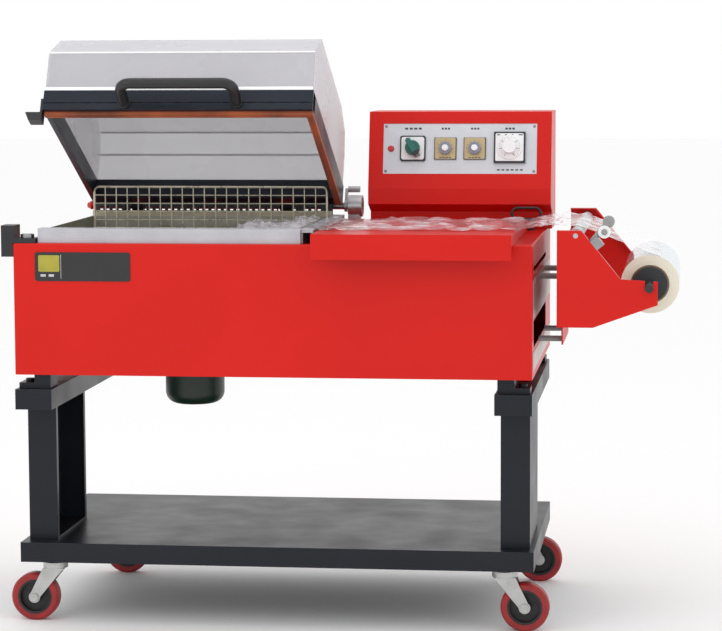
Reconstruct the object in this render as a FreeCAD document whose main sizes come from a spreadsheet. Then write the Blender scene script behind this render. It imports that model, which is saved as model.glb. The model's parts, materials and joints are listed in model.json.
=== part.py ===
import FreeCAD, Part
import Sketcher
import math
import os

# L bar sealer with shrink chamber.  Millimetres, +X to the right along the front, +Y to the
# back, +Z up.  The origin lies on the floor under the middle of the overall box.  Pieces are
# drawn in machine coordinates, whose zero is the left end of the body's front face.

doc = FreeCAD.newDocument("l_bar_sealer")
sheet = doc.addObject("Spreadsheet::Sheet", "Sizes")
nodes = []


class Size:
    """A number together with the spreadsheet expression that gives it."""

    def __init__(self, value, text):
        self.value = value
        self.text = text

    def __add__(self, other):
        other = sized(other)
        return Size(self.value + other.value, f"({self.text} + {other.text})")

    def __sub__(self, other):
        other = sized(other)
        return Size(self.value - other.value, f"({self.text} - {other.text})")

    def __mul__(self, other):
        other = sized(other)
        return Size(self.value * other.value, f"({self.text} * {other.text})")

    def __truediv__(self, other):
        other = sized(other)
        return Size(self.value / other.value, f"({self.text} / {other.text})")

    def __radd__(self, other):
        return sized(other) + self

    def __rsub__(self, other):
        return sized(other) - self

    def __rmul__(self, other):
        return sized(other) * self

    def __neg__(self):
        return Size(-self.value, f"(-{self.text})")


def sized(amount):
    if isinstance(amount, Size):
        return amount
    return Size(amount, f"({amount})")


def slope_angle(rise, run):
    """Angle in degrees whose tangent is rise over run."""
    rise, run = sized(rise), sized(run)
    return Size(math.degrees(math.atan2(rise.value, run.value)), f"(atan({rise.text} / {run.text}) / 1 deg)")


def distance(across, up):
    return Size(math.hypot(across.value, up.value), f"sqrt({across.text} * {across.text} + {up.text} * {up.text})")


def arc_cosine(share):
    return Size(math.degrees(math.acos(share.value)), f"(acos({share.text}) / 1 deg)")


def sine(angle):
    return Size(math.sin(math.radians(angle.value)), f"sin({angle.text} * 1 deg)")


def cosine(angle):
    return Size(math.cos(math.radians(angle.value)), f"cos({angle.text} * 1 deg)")


# How far a cutting shape runs past the faces that it opens.
PAST = 1
# How near two numbers lie when they are the same place.
SLACK = 0.01

# The driving dimensions, in millimetres and degrees.  Each has its own spreadsheet cell.
SIZES = {
    # Where the part's origin lies, from the body's left end and from its front face.
    "origin_right": 659.0, "origin_back": 295.0,
    # Fits and gaps.
    "fit": 0.05, "soft_gap": 0.3, "slide_gap": 0.3,
    # Stand.
    "caster_height": 130, "shelf_skirt": 41, "leg_height": 282, "beam_height": 42, "clamp_height": 30,
    "shelf_past": 2, "shelf_depth": 604, "shelf_front": 27, "shelf_sheet": 3, "shelf_flange": 100,
    "leg_width": 60, "leg_depth": 258, "leg_front": 67, "leg_sheet": 3, "leg_lip": 14, "leg_plate": 4,
    "beam_width": 76, "beam_length": 628, "beam_front": 2, "beam_wall": 3,
    "clamp_width": 66, "clamp_depth": 58, "clamp_base": 12, "clamp_riser": 34, "clamp_inset": 14,
    "bolt_head_radius": 9, "bolt_head": 6,
    # Casters.
    "stem_inset_side": 62, "stem_inset_end": 48, "trail": 42, "wheel_radius": 50, "wheel_width": 30,
    "tread": 14,
    "stem_radius": 6, "stem_head_radius": 10, "stem_head": 5, "crown_radius": 26, "crown_height": 12,
    "crown_gap": 1,
    "race_radius": 20, "race_height": 5, "fork_sheet": 3, "fork_gap": 2.5, "fork_foot": 12,
    "axle_radius": 5,
    "axle_head_radius": 9, "axle_head": 5, "hub_boss_radius": 13, "hub_web": 8, "hub_rim": 5,
    "tread_chamfer": 4,
    "cheek_back": 21, "cheek_ahead": 23,
    # Body.
    "deck_right": 472, "body_depth": 650, "body_height": 270, "body_wall": 2, "body_corner": 4,
    "motor_hole_gap": 5, "vent_slot_height": 10, "vent_slot_front": 45, "vent_slot_back": 470,
    "upper_slot_drop": 57, "lower_slot_drop": 210, "lower_slot_height": 55,
    # Chamber.
    "tub_left": 50, "tub_front": 48, "tub_length": 538, "tub_depth": 454, "tub_rim": 25,
    "tub_height": 200, "tub_wall": 1.5,
    "grid_drop": 24, "wire_radius": 1.25, "frame_wire_radius": 2.5, "mesh_pitch_x": 24.5,
    "mesh_pitch_y": 24.5,
    "fence_height": 94, "fence_inset": 15, "fence_short": 20, "fence_pitch": 20, "fence_corner": 10,
    "fence_setback": 48,
    "back_panel_sheet": 3, "back_panel_height": 37, "rail_setback": 12, "rail_height": 50,
    "rail_sheet": 3,
    "rail_slot_width": 7, "rail_slot_height": 8, "rail_slot_pitch": 14, "rail_slot_top": 5,
    "rail_slots": 36, "notch_gap": 2,
    # Seal bed and pad.
    "bed_left": 50, "bed_front": 10, "bed_past": 4, "bed_width": 36, "bed_height": 29.5,
    "bed_wall": 3,
    "pad_sheet": 2, "right_bed_width": 24, "right_bed_back": 500, "right_bed_front": 20, "right_pad": 4, "pad_edge": 0.2,
    # Magnet lock.
    "magnet_out": 25, "magnet_drop": 28, "magnet_in": 46, "magnet_front": 2, "magnet_depth": 43,
    "magnet_shelf": 10, "magnet_step": 4, "magnet_top": 36, "coil_radius": 14, "coil_height": 7.5,
    "coil_ring_radius": 11, "coil_core_radius": 7, "coil_well": 2,
    # Blower and heaters.
    "motor_back": 290, "motor_radius": 63, "motor_flange_radius": 75,
    "motor_flange": 8,
    "motor_reach": 187, "motor_round": 26, "motor_bore": 30, "fan_radius": 80, "fan_plate": 2.5,
    "fan_blade": 36,
    "fan_blade_sheet": 2, "fan_hub_radius": 16, "fan_lift": 8, "shaft_radius": 7, "blade_start": 30,
    "blade_lean": 20, "blade_inset": 4, "fan_hub": 18, "shaft_clear": 2,
    "heater_radius": 4, "heater_bend": 16, "heater_length": 380, "heater_height": 95,
    "heater_inset": 40,
    "fan_blades": 10,
    # Sealing transformer.
    "core_gap": 172, "core_front": 260, "core_length": 110, "core_depth": 70, "core_height": 90,
    "core_limb": 22,
    "coil_margin": 10, "coil_clear": 1,
    # Hinge.
    "hinge_back": 535, "hinge_lift": 46.5, "cover_open": 26, "hinge_radius": 8, "shaft_left": 46,
    "shaft_past": 54,
    "bracket_sheet": 8, "bracket_depth": 36, "bracket_left": 118, "bracket_right": 510,
    "bracket_round": 14,
    "arm_left": 147, "arm_right": 481, "arm_width": 26, "arm_radius": 13,
    "drum_gap": 33, "drum_length": 31, "drum_radius": 23.5, "drum_foot": 30, "drum_cap": 5,
    "drum_lip": 1.5,
    "knob_length": 15, "knob_radius": 10, "knob_tip": 5, "knob_shoulder": 9, "knob_end_radius": 8,
    # Cover.
    "cover_left": 50, "cover_past": 22, "cover_reach": 521, "cover_rear": 22, "bar_bottom": 5,
    "bar_top": 38,
    "front_bar_width": 35, "side_bar_width": 12, "rear_bar_width": 35, "groove_height": 3,
    "groove_depth": 2,
    "groove_lift": 13, "bar_wall": 2.5,
    "dome_sheet": 4, "dome_setback": 2, "dome_front_bend": 125, "dome_top": 191, "dome_front_run": 78,
    "dome_rear_bend": 162, "dome_rear_run": 109, "dome_rear_step": 13, "dome_rear_low": 113,
    "knife_height": 8, "knife_width": 14, "blade_height": 2, "blade_width": 2,
    "grip_radius": 11, "grip_reach": 62, "grip_left": 220, "grip_length": 233, "grip_lift": 9,
    "grip_bend": 22, "grip_slant": 15,
    "grip_foot_radius": 13, "grip_foot": 4,
    "lug_left": 14, "lug_slant": 8, "lug_top": 10, "lug_bottom": 28, "lug_rise": 20, "lug_sheet": 5,
    "lug_inset": 1, "lug_depth": 25, "lug_gap": 1,
    "stop_sheet": 6, "stop_lift": 40, "stop_width": 12, "stop_gap": 2, "bumper_length": 26,
    "bumper_radius": 7,
    # Control box.
    "box_gap": 85, "box_length": 398, "box_height": 255, "box_bend": 89, "box_band": 55,
    "box_recess": 37,
    "box_top_front": 500, "box_bend_front": 462, "box_recess_front": 507, "box_wall": 1.5,
    "panel_length": 335, "panel_height": 111, "panel_lift": 86, "panel_margin": 10, "panel_sheet": 2,
    "lamp_left": 17, "lamp_radius": 7, "lamp_reach": 5, "lamp_dome": 3,
    "switch_left": 65, "switch_side": 56, "switch_plate": 6, "switch_knob_radius": 16,
    "switch_knob": 10,
    "switch_turn": 32, "switch_grip_shoulder": 18, "pointer_width": 2, "pointer_height": 1,
    "pointer_inset": 2, "window_cut": 6,
    "switch_grip_length": 44, "switch_grip_width": 12, "switch_grip": 14, "bezel_round": 5,
    "timer_left": 136, "timer_step": 64, "timer_side": 48, "timer_plate": 5, "timer_knob_radius": 13.5,
    "timer_knob": 7, "timer_cap_radius": 6.5, "timer_cap": 5,
    "thermo_left": 276, "thermo_side": 68, "thermo_plate": 9, "thermo_lift": 2,
    "thermo_knob_radius": 15,
    "thermo_knob": 12, "thermo_skirt_radius": 27, "thermo_skirt": 2, "spindle_radius": 3,
    "spindle_gap": 0.5, "spindle_end": 6,
    # Nameplate.
    "plate_left": 46, "plate_length": 198, "plate_drop": 18, "plate_height": 59, "plate_sheet": 1.5,
    "plate_round": 5,
    # Loading tray.
    "tray_gap": 34, "tray_length": 400, "tray_front": 60, "tray_depth": 488, "tray_lift": 25,
    "tray_lip": 51,
    "tray_sheet": 2,
    # Film cradle.
    "cradle_front": 0, "cradle_back": 600, "cradle_left": 48, "cradle_sheet": 3, "cradle_flange": 20,
    "cradle_top": 30, "cradle_top_length": 48, "cradle_slope_run": 126, "cradle_slope_drop": 66,
    "arm_tip_run": 200, "arm_tip_top": 70, "arm_tip_bottom": 117, "cradle_bend_run": 72,
    "cradle_bottom": 163,
    "cradle_back_lift": 10, "cradle_back_shift": 8,
    "cross_top": 5, "cross_low": 155, "tongue_low": 220, "tongue_front": 180, "tongue_back": 460,
    "tongue_taper": 20,
    "stud_radius": 6, "stud_upper": 79, "stud_lower": 209, "stud_front": 220, "stud_rear": 420,
    "roll_run": 231, "roll_drop": 84, "roll_radius": 59, "roll_front": 100, "roll_length": 400,
    "core_radius": 39,
    "core_wall": 4, "core_proud": 2, "chuck_length": 26, "chuck_radius": 34.9, "film_shaft_radius": 8, "shaft_end": 8,
    "roller_run": 85, "roller_lift": 20, "roller_radius": 13, "roller_journal": 5, "roller_gap": 2,
    "pin_slide": 50, "pin_block_width": 22, "pin_block_height": 18, "pin_block_depth": 26,
    "pin_arm_sheet": 4,
    "pin_arm_width": 12, "pin_wheel_back": 19, "pin_wheel_out": 34, "pin_wheel_radius": 12.5,
    "pin_wheel_width": 14,
    "pin_axle": 4, "pin_axle_head": 2, "pin_knob_back": 29, "pin_knob_out": 52, "pin_knob_radius": 12,
    "pin_knob_width": 16, "pin_length": 1.4, "pin_count": 12, "pin_root": 1,
    "rod_radius": 3, "rod_front": 452, "rod_inset": 72, "rod_length": 62, "rod_upper": 48,
    "rod_rise": 24,
    "rod_foot_radius": 9, "rod_foot": 3, "rod_post": 8,
    # Film web.
    "film_sheet": 0.6, "film_clear": 0.7, "film_front": 30, "film_back": 404, "film_far": 330,
    "film_inset": 24,
    "film_slack": 26,
}


class Cells:
    """Keeps each driving dimension as a Size, tied to the spreadsheet cell that holds it."""

    def __init__(self, sizes):
        for row, (name, value) in enumerate(sizes.items(), start=1):
            sheet.set(f"A{row}", name)
            sheet.set(f"B{row}", str(value))
            sheet.setAlias(f"B{row}", name)
            setattr(self, name, Size(value, f"Sizes.{name}"))


S = Cells(SIZES)
# Everything to the right of the chamber keeps its distance from the chamber's right wall.
TUB_RIGHT = S.tub_left + S.tub_length
BODY_LENGTH = TUB_RIGHT + S.deck_right
SHELF_LENGTH = BODY_LENGTH + 2 * S.shelf_past
BED_LENGTH = S.tub_length + S.bed_past
COVER_LENGTH = S.tub_length + S.cover_past
SHAFT_RIGHT = TUB_RIGHT + S.shaft_past
DRUM_LEFT = TUB_RIGHT + S.drum_gap
TRAY_LEFT = TUB_RIGHT + S.tray_gap
BOX_LEFT = TUB_RIGHT + S.box_gap
CORE_LEFT = TUB_RIGHT + S.core_gap
ROD_LEFT = BODY_LENGTH - S.rod_inset
FENCE_LEFT = S.tub_left + S.fence_inset
FENCE_LENGTH = S.tub_length - S.fence_short
MOTOR_X = S.tub_left + S.tub_length / 2


def X(amount):
    return amount - S.origin_right


def Y(amount):
    return amount - S.origin_back


def bind(item, prop, amount):
    item.setExpression(prop, sized(amount).text)


def locate(item, frame):
    """Gives a finished piece the Placement of the frame that it is drawn in."""
    corner, axis, angle = frame
    item.Placement = FreeCAD.Placement(FreeCAD.Vector(), FreeCAD.Rotation(axis, sized(angle).value))
    for name, amount in zip("xyz", corner):
        bind(item, f".Placement.Base.{name}", amount)
    if isinstance(angle, Size):
        bind(item, ".Placement.Rotation.Angle", angle)


def node(label, frame, *shapes):
    """Names a sub-part.  Several solids, or a plain primitive, become one compound."""
    item = shapes[0]
    if len(shapes) > 1 or item.TypeId in ("Part::Box", "Part::Cylinder"):
        item = doc.addObject("Part::Compound", label)
        item.Links = list(shapes)
    item.Label = label
    locate(item, frame)
    nodes.append(item)
    return item


def box(name, corner, extent):
    item = doc.addObject("Part::Box", name)
    for prop, amount in zip(("Length", "Width", "Height"), extent):
        bind(item, prop, amount)
    for axis, amount in zip("xyz", corner):
        bind(item, f".Placement.Base.{axis}", amount)
    return item


TURNS = {
    "x": (FreeCAD.Vector(0, 1, 0), 90),
    "y": (FreeCAD.Vector(1, 0, 0), -90),
    "z": (FreeCAD.Vector(0, 0, 1), 0),
}


def rod(name, start, radius, length, axis="z"):
    """A cylinder that runs from start along the positive axis."""
    item = doc.addObject("Part::Cylinder", name)
    bind(item, "Radius", radius)
    bind(item, "Height", length)
    item.Placement = FreeCAD.Placement(FreeCAD.Vector(), FreeCAD.Rotation(*TURNS[axis]))
    for letter, amount in zip("xyz", start):
        bind(item, f".Placement.Base.{letter}", amount)
    return item


def elbow(name, centre, bend, radius, turn):
    """A quarter ring; turn is the rotation that brings it from the XY quadrant to its place."""
    item = doc.addObject("Part::Torus", name)
    bind(item, "Radius1", bend)
    bind(item, "Radius2", radius)
    item.Angle3 = 90
    item.Placement = FreeCAD.Placement(FreeCAD.Vector(), turn)
    for letter, amount in zip("xyz", centre):
        bind(item, f".Placement.Base.{letter}", amount)
    return item


def fuse(name, *shapes):
    item = doc.addObject("Part::MultiFuse", name)
    item.Shapes = list(shapes)
    return item


def cut(name, base, *tools):
    item = doc.addObject("Part::Cut", name)
    item.Base = base
    item.Tool = tools[0] if len(tools) == 1 else fuse(name + "_tools", *tools)
    return item


def mirrored(name, source):
    """The same piece on the other side of the body's middle plane, still in machine coordinates."""
    item = doc.addObject("Part::Mirroring", name)
    item.Source = source
    item.Normal = FreeCAD.Vector(1, 0, 0)
    bind(item, "Base.x", BODY_LENGTH / 2)
    return item


def design(name):
    return doc.addObject("PartDesign::Body", name)


def sketch_on(body, plane, start=0):
    """A sketch on the body's own XY, XZ or YZ plane, moved by start along +Z, +Y or +X."""
    count = len(body.Group)
    sketch = body.newObject("Sketcher::SketchObject", f"{body.Name}_sketch{count}")
    support = [item for item in body.Origin.OriginFeatures if item.Role == plane + "_Plane"]
    sketch.AttachmentSupport = [(support[0], "")]
    sketch.MapMode = "FlatFace"
    bind(sketch, ".AttachmentOffset.Base.z", -sized(start) if plane == "XZ" else start)
    return sketch


def fix_point(sketch, line, point, name):
    """Ties a line's start point to its distances from the sketch's origin."""
    for kind, letter, amount in zip(("DistanceX", "DistanceY"), "uv", point):
        index = sketch.addConstraint(Sketcher.Constraint(kind, line, 1, float(sized(amount).value)))
        sketch.renameConstraint(index, letter + name)
        bind(sketch, f"Constraints.{letter}{name}", amount)


def polygon(sketch, points):
    corners = [FreeCAD.Vector(sized(u).value, sized(v).value, 0) for u, v in points]
    first = sketch.GeometryCount
    count = len(corners)
    for index in range(count):
        sketch.addGeometry(Part.LineSegment(corners[index], corners[(index + 1) % count]))
    for index in range(count):
        following = first + (index + 1) % count
        sketch.addConstraint(Sketcher.Constraint("Coincident", first + index, 2, following, 1))
    for index, point in enumerate(points):
        fix_point(sketch, first + index, point, str(first + index))


def circle(sketch, centre, radius):
    u, v = sized(centre[0]), sized(centre[1])
    middle = FreeCAD.Vector(u.value, v.value, 0)
    index = sketch.addGeometry(Part.Circle(middle, FreeCAD.Vector(0, 0, 1), sized(radius).value))
    for kind, letter, amount in zip(("DistanceX", "DistanceY"), "uv", (u, v)):
        place = sketch.addConstraint(Sketcher.Constraint(kind, index, 3, float(amount.value)))
        sketch.renameConstraint(place, f"{letter}{index}")
        bind(sketch, f"Constraints.{letter}{index}", amount)
    ring = sketch.addConstraint(Sketcher.Constraint("Radius", index, float(sized(radius).value)))
    sketch.renameConstraint(ring, f"r{index}")
    bind(sketch, f"Constraints.r{index}", radius)


def draw(sketch, outline):
    """An outline is a list of points, or a centre and a radius for a circle."""
    if isinstance(outline, tuple):
        circle(sketch, *outline)
    else:
        polygon(sketch, outline)


def extrude(kind, body, plane, outlines, length, start):
    sketch = sketch_on(body, plane, start)
    for outline in outlines:
        draw(sketch, outline)
    feature = body.newObject(f"PartDesign::{kind}", f"{body.Name}_{kind.lower()}{len(body.Group)}")
    feature.Profile = sketch
    bind(feature, "Length", length)
    feature.Reversed = (plane == "XZ") == (kind == "Pad")
    doc.recompute()
    return feature


def pad(body, plane, outline, length, start=0, holes=()):
    return extrude("Pad", body, plane, [outline, *holes], length, start)


def pocket(body, plane, outline, length, start=0):
    before = body.Shape.Volume
    feature = extrude("Pocket", body, plane, [outline], length, start)
    if body.Shape.Volume >= before:
        raise ValueError(f"{feature.Label} cuts nothing")
    return feature


def revolve(body, outline):
    """Turns an outline of radius and height points about the body's Z axis."""
    sketch = sketch_on(body, "XZ")
    draw(sketch, outline)
    feature = body.newObject("PartDesign::Revolution", f"{body.Name}_turned")
    feature.Profile = sketch
    feature.ReferenceAxis = (sketch, ["V_Axis"])
    feature.Angle = 360
    doc.recompute()
    return feature


def fillet(body, radius, chosen):
    """Rounds the edges of the body's last feature for which chosen(edge) is true."""
    doc.recompute()
    base = body.Tip
    names = [f"Edge{i + 1}" for i, edge in enumerate(base.Shape.Edges) if chosen(edge)]
    feature = body.newObject("PartDesign::Fillet", f"{body.Name}_fillet{len(body.Group)}")
    feature.Base = (base, names)
    bind(feature, "Radius", radius)
    doc.recompute()
    return feature


def runs_along(axis):
    """A test for straight edges that run along x, y or z."""
    def test(edge):
        if edge.Curve.TypeId != "Part::GeomLine":
            return False
        return abs(getattr(edge.tangentAt(edge.FirstParameter), axis)) > 0.999
    return test


def rectangle(low_u, low_v, wide, high):
    return [(low_u, low_v), (low_u + wide, low_v), (low_u + wide, low_v + high), (low_u, low_v + high)]


def hollow(name, body, wall, face_test):
    """A shell of the body's shape with the faces that pass the test left open."""
    doc.recompute()
    names = [f"Face{i + 1}" for i, face in enumerate(body.Shape.Faces) if face_test(face)]
    item = doc.addObject("Part::Thickness", name)
    item.Faces = (body, names)
    bind(item, "Value", -sized(wall))
    item.Join = 2
    item.Mode = 0
    doc.recompute()
    return item


def lowest_face(body):
    doc.recompute()
    low = body.Shape.BoundBox.ZMin

    def test(face):
        return face.BoundBox.ZMax < low + 0.01
    return test


# Levels, from the floor up.
SHELF_TOP = S.caster_height + S.shelf_skirt
BEAM_BOTTOM = SHELF_TOP + S.leg_height
BEAM_TOP = BEAM_BOTTOM + S.beam_height
BODY_BOTTOM = BEAM_TOP + S.clamp_height
DECK = BODY_BOTTOM + S.body_height
HINGE = DECK + S.hinge_lift
UPRIGHT = FreeCAD.Vector(0, 0, 1)
SIDEWAYS = FreeCAD.Vector(1, 0, 0)
MACHINE = ((X(0), Y(0), 0), UPRIGHT, 0)
COVER = ((X(0), Y(S.hinge_back), HINGE), SIDEWAYS, -S.cover_open)


# ---------------------------------------------------------------- stand

def stand_shelf():
    """Folded tray with a return flange underneath that takes the caster stems."""
    left = (BODY_LENGTH - SHELF_LENGTH) / 2
    outer = box("shelf_outer", (left, S.shelf_front, S.caster_height),
                (SHELF_LENGTH, S.shelf_depth, S.shelf_skirt))
    inner_length = SHELF_LENGTH - 2 * S.shelf_sheet
    inner_depth = S.shelf_depth - 2 * S.shelf_sheet
    inner_front = S.shelf_front + S.shelf_sheet
    inner = box("shelf_inner", (left + S.shelf_sheet, inner_front, S.caster_height + S.shelf_sheet),
                (inner_length, inner_depth, S.shelf_skirt - 2 * S.shelf_sheet))
    mouth = box("shelf_mouth", (left + S.shelf_flange, S.shelf_front + S.shelf_flange, S.caster_height - PAST),
                (SHELF_LENGTH - 2 * S.shelf_flange, S.shelf_depth - 2 * S.shelf_flange, S.shelf_sheet + 2 * PAST))
    holes = []
    for name, x, y, _ in CASTERS:
        holes.append(rod(f"shelf_hole_{name}", (x, y, S.caster_height - PAST), S.stem_radius + S.fit,
                         S.shelf_sheet + 2 * PAST))
    node("stand_shelf", MACHINE, cut("shelf_cut", outer, inner, mouth, *holes))


def leg_channel(side):
    """C channel that opens towards the machine's middle, with a foot plate and a head plate."""
    left = (S.beam_width - S.leg_width) / 2
    right = left + S.leg_width
    front = S.leg_front
    back = front + S.leg_depth
    sheet_in = S.leg_sheet
    profile = [
        (left, front), (right, front), (right, front + S.leg_lip),
        (right - sheet_in, front + S.leg_lip), (right - sheet_in, front + sheet_in),
        (left + sheet_in, front + sheet_in), (left + sheet_in, back - sheet_in),
        (right - sheet_in, back - sheet_in), (right - sheet_in, back - S.leg_lip),
        (right, back - S.leg_lip), (right, back), (left, back),
    ]
    body = design(f"leg_channel_{side}")
    pad(body, "XY", profile, S.leg_height, SHELF_TOP)
    plate = rectangle(left, front, S.leg_width, S.leg_depth)
    pad(body, "XY", plate, S.leg_plate, SHELF_TOP)
    pad(body, "XY", plate, S.leg_plate, BEAM_BOTTOM - S.leg_plate)
    return body


def stand_legs():
    node("stand_leg_left", MACHINE, leg_channel("left"))
    node("stand_leg_right", MACHINE, mirrored("leg_mirrored", leg_channel("right")))


def beam_tube(side):
    """Box section with a closed front end."""
    corner = (0, -S.beam_front, BEAM_BOTTOM)
    outer = box(f"beam_outer_{side}", corner, (S.beam_width, S.beam_length, S.beam_height))
    inner = box(f"beam_inner_{side}", (S.beam_wall, S.beam_wall - S.beam_front, BEAM_BOTTOM + S.beam_wall),
                (S.beam_width - 2 * S.beam_wall, S.beam_length, S.beam_height - 2 * S.beam_wall))
    return cut(f"beam_tube_{side}", outer, inner)


def stand_beams():
    node("stand_beam_left", MACHINE, beam_tube("left"))
    node("stand_beam_right", MACHINE, mirrored("beam_mirrored", beam_tube("right")))


def beam_clamps():
    """Stepped blocks between the beams and the body, each with its bolt."""
    shapes = []
    rear = S.beam_length - S.beam_front - S.clamp_inset - S.clamp_depth
    for name, front in (("front", S.clamp_inset), ("rear", rear)):
        left = (S.beam_width - S.clamp_width) / 2
        right = left + S.clamp_width
        profile = [
            (left, BEAM_TOP), (right, BEAM_TOP), (right, BODY_BOTTOM),
            (right - S.clamp_riser, BODY_BOTTOM), (right - S.clamp_riser, BEAM_TOP + S.clamp_base),
            (left, BEAM_TOP + S.clamp_base),
        ]
        block = design(f"clamp_block_{name}")
        pad(block, "XZ", profile, S.clamp_depth, front)
        middle = left + (S.clamp_width - S.clamp_riser) / 2
        head = rod(f"clamp_bolt_{name}", (middle, front + S.clamp_depth / 2, BEAM_TOP + S.clamp_base),
                   S.bolt_head_radius, S.bolt_head)
        for shape in (block, head):
            shapes.append(shape)
            shapes.append(mirrored(shape.Name + "_right", shape))
    node("beam_clamps", MACHINE, *shapes)


# ---------------------------------------------------------------- casters

SHELF_LEFT = (BODY_LENGTH - SHELF_LENGTH) / 2
SHELF_BACK = S.shelf_front + S.shelf_depth
LEFT_STEM = SHELF_LEFT + S.stem_inset_side
RIGHT_STEM = SHELF_LEFT + SHELF_LENGTH - S.stem_inset_side
FRONT_STEM = S.shelf_front + S.stem_inset_end
REAR_STEM = SHELF_BACK - S.stem_inset_end
# Name, stem position and the heading in degrees to which the wheel trails.
CASTERS = [
    ("front_left", LEFT_STEM, FRONT_STEM, 180),
    ("front_right", RIGHT_STEM, FRONT_STEM, 0),
    ("rear_left", LEFT_STEM, REAR_STEM, 0),
    ("rear_right", RIGHT_STEM, REAR_STEM, 0),
]
CROWN_TOP = S.caster_height - S.race_height - S.crown_gap
CROWN_BOTTOM = CROWN_TOP - S.crown_height


def caster_stem(name, x, y):
    """Stem with its upper race, its nut above the shelf's flange and its riveted lower head."""
    bottom = CROWN_BOTTOM - S.stem_head - S.crown_gap
    top = S.caster_height + S.shelf_sheet
    shank = rod(f"stem_shank_{name}", (x, y, bottom), S.stem_radius, top + S.bolt_head - bottom)
    head = rod(f"stem_head_{name}", (x, y, bottom), S.stem_head_radius, S.stem_head)
    race = rod(f"stem_race_{name}", (x, y, S.caster_height - S.race_height), S.race_radius, S.race_height)
    nut = rod(f"stem_nut_{name}", (x, y, top), S.bolt_head_radius, S.bolt_head)
    return fuse(f"stem_{name}", shank, head, race, nut)


def caster_fork(name):
    """Pressed fork in its own frame: stem on the Z axis, trailing along +X."""
    half = S.wheel_width / 2 + S.fork_gap
    crown = design(f"fork_crown_{name}")
    stem_hole = ((0, 0), S.stem_radius + S.fit)
    pad(crown, "XY", ((0, 0), S.crown_radius), S.crown_height, CROWN_BOTTOM, holes=[stem_hole])
    cheek = [
        (-S.cheek_back, CROWN_BOTTOM), (S.cheek_ahead, CROWN_BOTTOM),
        (S.trail + S.fork_foot, S.wheel_radius), (S.trail - S.fork_foot, S.wheel_radius),
    ]
    foot = ((S.trail, S.wheel_radius), S.fork_foot)
    lip = rectangle(-S.cheek_back, CROWN_BOTTOM - S.fork_sheet, S.cheek_back + S.cheek_ahead, S.fork_sheet)
    for start in (half, -half - S.fork_sheet):
        pad(crown, "XZ", lip, S.fork_sheet, start)
        pad(crown, "XZ", cheek, S.fork_sheet, start)
        pad(crown, "XZ", foot, S.fork_sheet, start)
    reach = half + S.fork_sheet
    bolt_hole = ((S.trail, S.wheel_radius), S.axle_radius)
    pocket(crown, "XZ", bolt_hole, 2 * reach + 2 * PAST, -reach - PAST)
    axle = rod(f"axle_{name}", (S.trail, -reach, S.wheel_radius), S.axle_radius, 2 * reach, "y")
    radius = S.axle_head_radius
    head = rod(f"axle_head_{name}", (S.trail, -reach - S.axle_head, S.wheel_radius), radius, S.axle_head, "y")
    nut = rod(f"axle_nut_{name}", (S.trail, reach, S.wheel_radius), radius, S.axle_head, "y")
    return crown, fuse(f"axle_bolt_{name}", axle, head, nut)


def caster_wheel(name):
    """Hub and bonded tread, turned about their own axis."""
    half = S.wheel_width / 2
    rim = S.wheel_radius - S.tread
    bore = S.axle_radius + S.fit
    boss = half + S.fork_gap - S.slide_gap
    web = S.hub_web / 2
    hub = design(f"hub_{name}")
    revolve(hub, [
        (bore, -boss), (S.hub_boss_radius, -boss), (S.hub_boss_radius, -web), (rim - S.hub_rim, -web),
        (rim - S.hub_rim, -half), (rim, -half), (rim, half), (rim - S.hub_rim, half),
        (rim - S.hub_rim, web), (S.hub_boss_radius, web), (S.hub_boss_radius, boss), (bore, boss),
    ])
    tread = design(f"tread_{name}")
    shoulder = S.wheel_radius - S.tread_chamfer
    revolve(tread, [
        (rim, -half), (shoulder, -half), (S.wheel_radius, S.tread_chamfer - half),
        (S.wheel_radius, half - S.tread_chamfer), (shoulder, half), (rim, half),
    ])
    return hub, tread


def casters():
    node("caster_stems", MACHINE, *[caster_stem(name, x, y) for name, x, y, _ in CASTERS])
    for name, x, y, heading in CASTERS:
        node(f"caster_fork_{name}", ((X(x), Y(y), 0), UPRIGHT, heading), *caster_fork(name))
        side = -1 if heading == 180 else 1
        centre = (X(x + side * S.trail), Y(y), S.wheel_radius)
        node(f"caster_wheel_{name}", (centre, SIDEWAYS, 90), *caster_wheel(name))


# ---------------------------------------------------------------- body

def body_shell():
    """Folded sheet box with the chamber's opening, the motor hole and the side slots."""
    body = design("body_block")
    pad(body, "XY", rectangle(0, 0, BODY_LENGTH, S.body_depth), S.body_height, BODY_BOTTOM)
    fillet(body, S.body_corner, lambda edge: runs_along("z")(edge) or edge.BoundBox.ZMin > DECK.value - SLACK)
    wall = S.body_wall
    inside = box("body_inside", (wall, wall, BODY_BOTTOM + wall),
                 (BODY_LENGTH - 2 * wall, S.body_depth - 2 * wall, S.body_height - 2 * wall))
    mouth = box("body_mouth", (S.tub_left - S.soft_gap, S.tub_front - S.soft_gap, DECK - wall - PAST),
                (S.tub_length + 2 * S.soft_gap, S.tub_depth + 2 * S.soft_gap, wall + 2 * PAST))
    motor_hole = rod("body_motor_hole", (MOTOR_X, S.motor_back, BODY_BOTTOM - PAST),
                     S.motor_radius + S.motor_hole_gap, wall + 2 * PAST)
    slot_depth = S.vent_slot_back - S.vent_slot_front
    side = BODY_LENGTH - wall - PAST
    upper = box("body_upper_slot", (side, S.vent_slot_front, DECK - S.upper_slot_drop),
                (wall + 2 * PAST, slot_depth, S.vent_slot_height))
    lower = box("body_lower_slot", (side, S.vent_slot_front, DECK - S.lower_slot_drop),
                (wall + 2 * PAST, slot_depth, S.lower_slot_height))
    node("body_shell", MACHINE, cut("body_cut", body, inside, mouth, motor_hole, upper, lower))


TUB_BOTTOM = DECK + S.tub_rim - S.tub_height
TUB_TOP = DECK + S.tub_rim
TUB_BACK = S.tub_front + S.tub_depth
TUB_RIGHT = S.tub_left + S.tub_length


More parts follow.
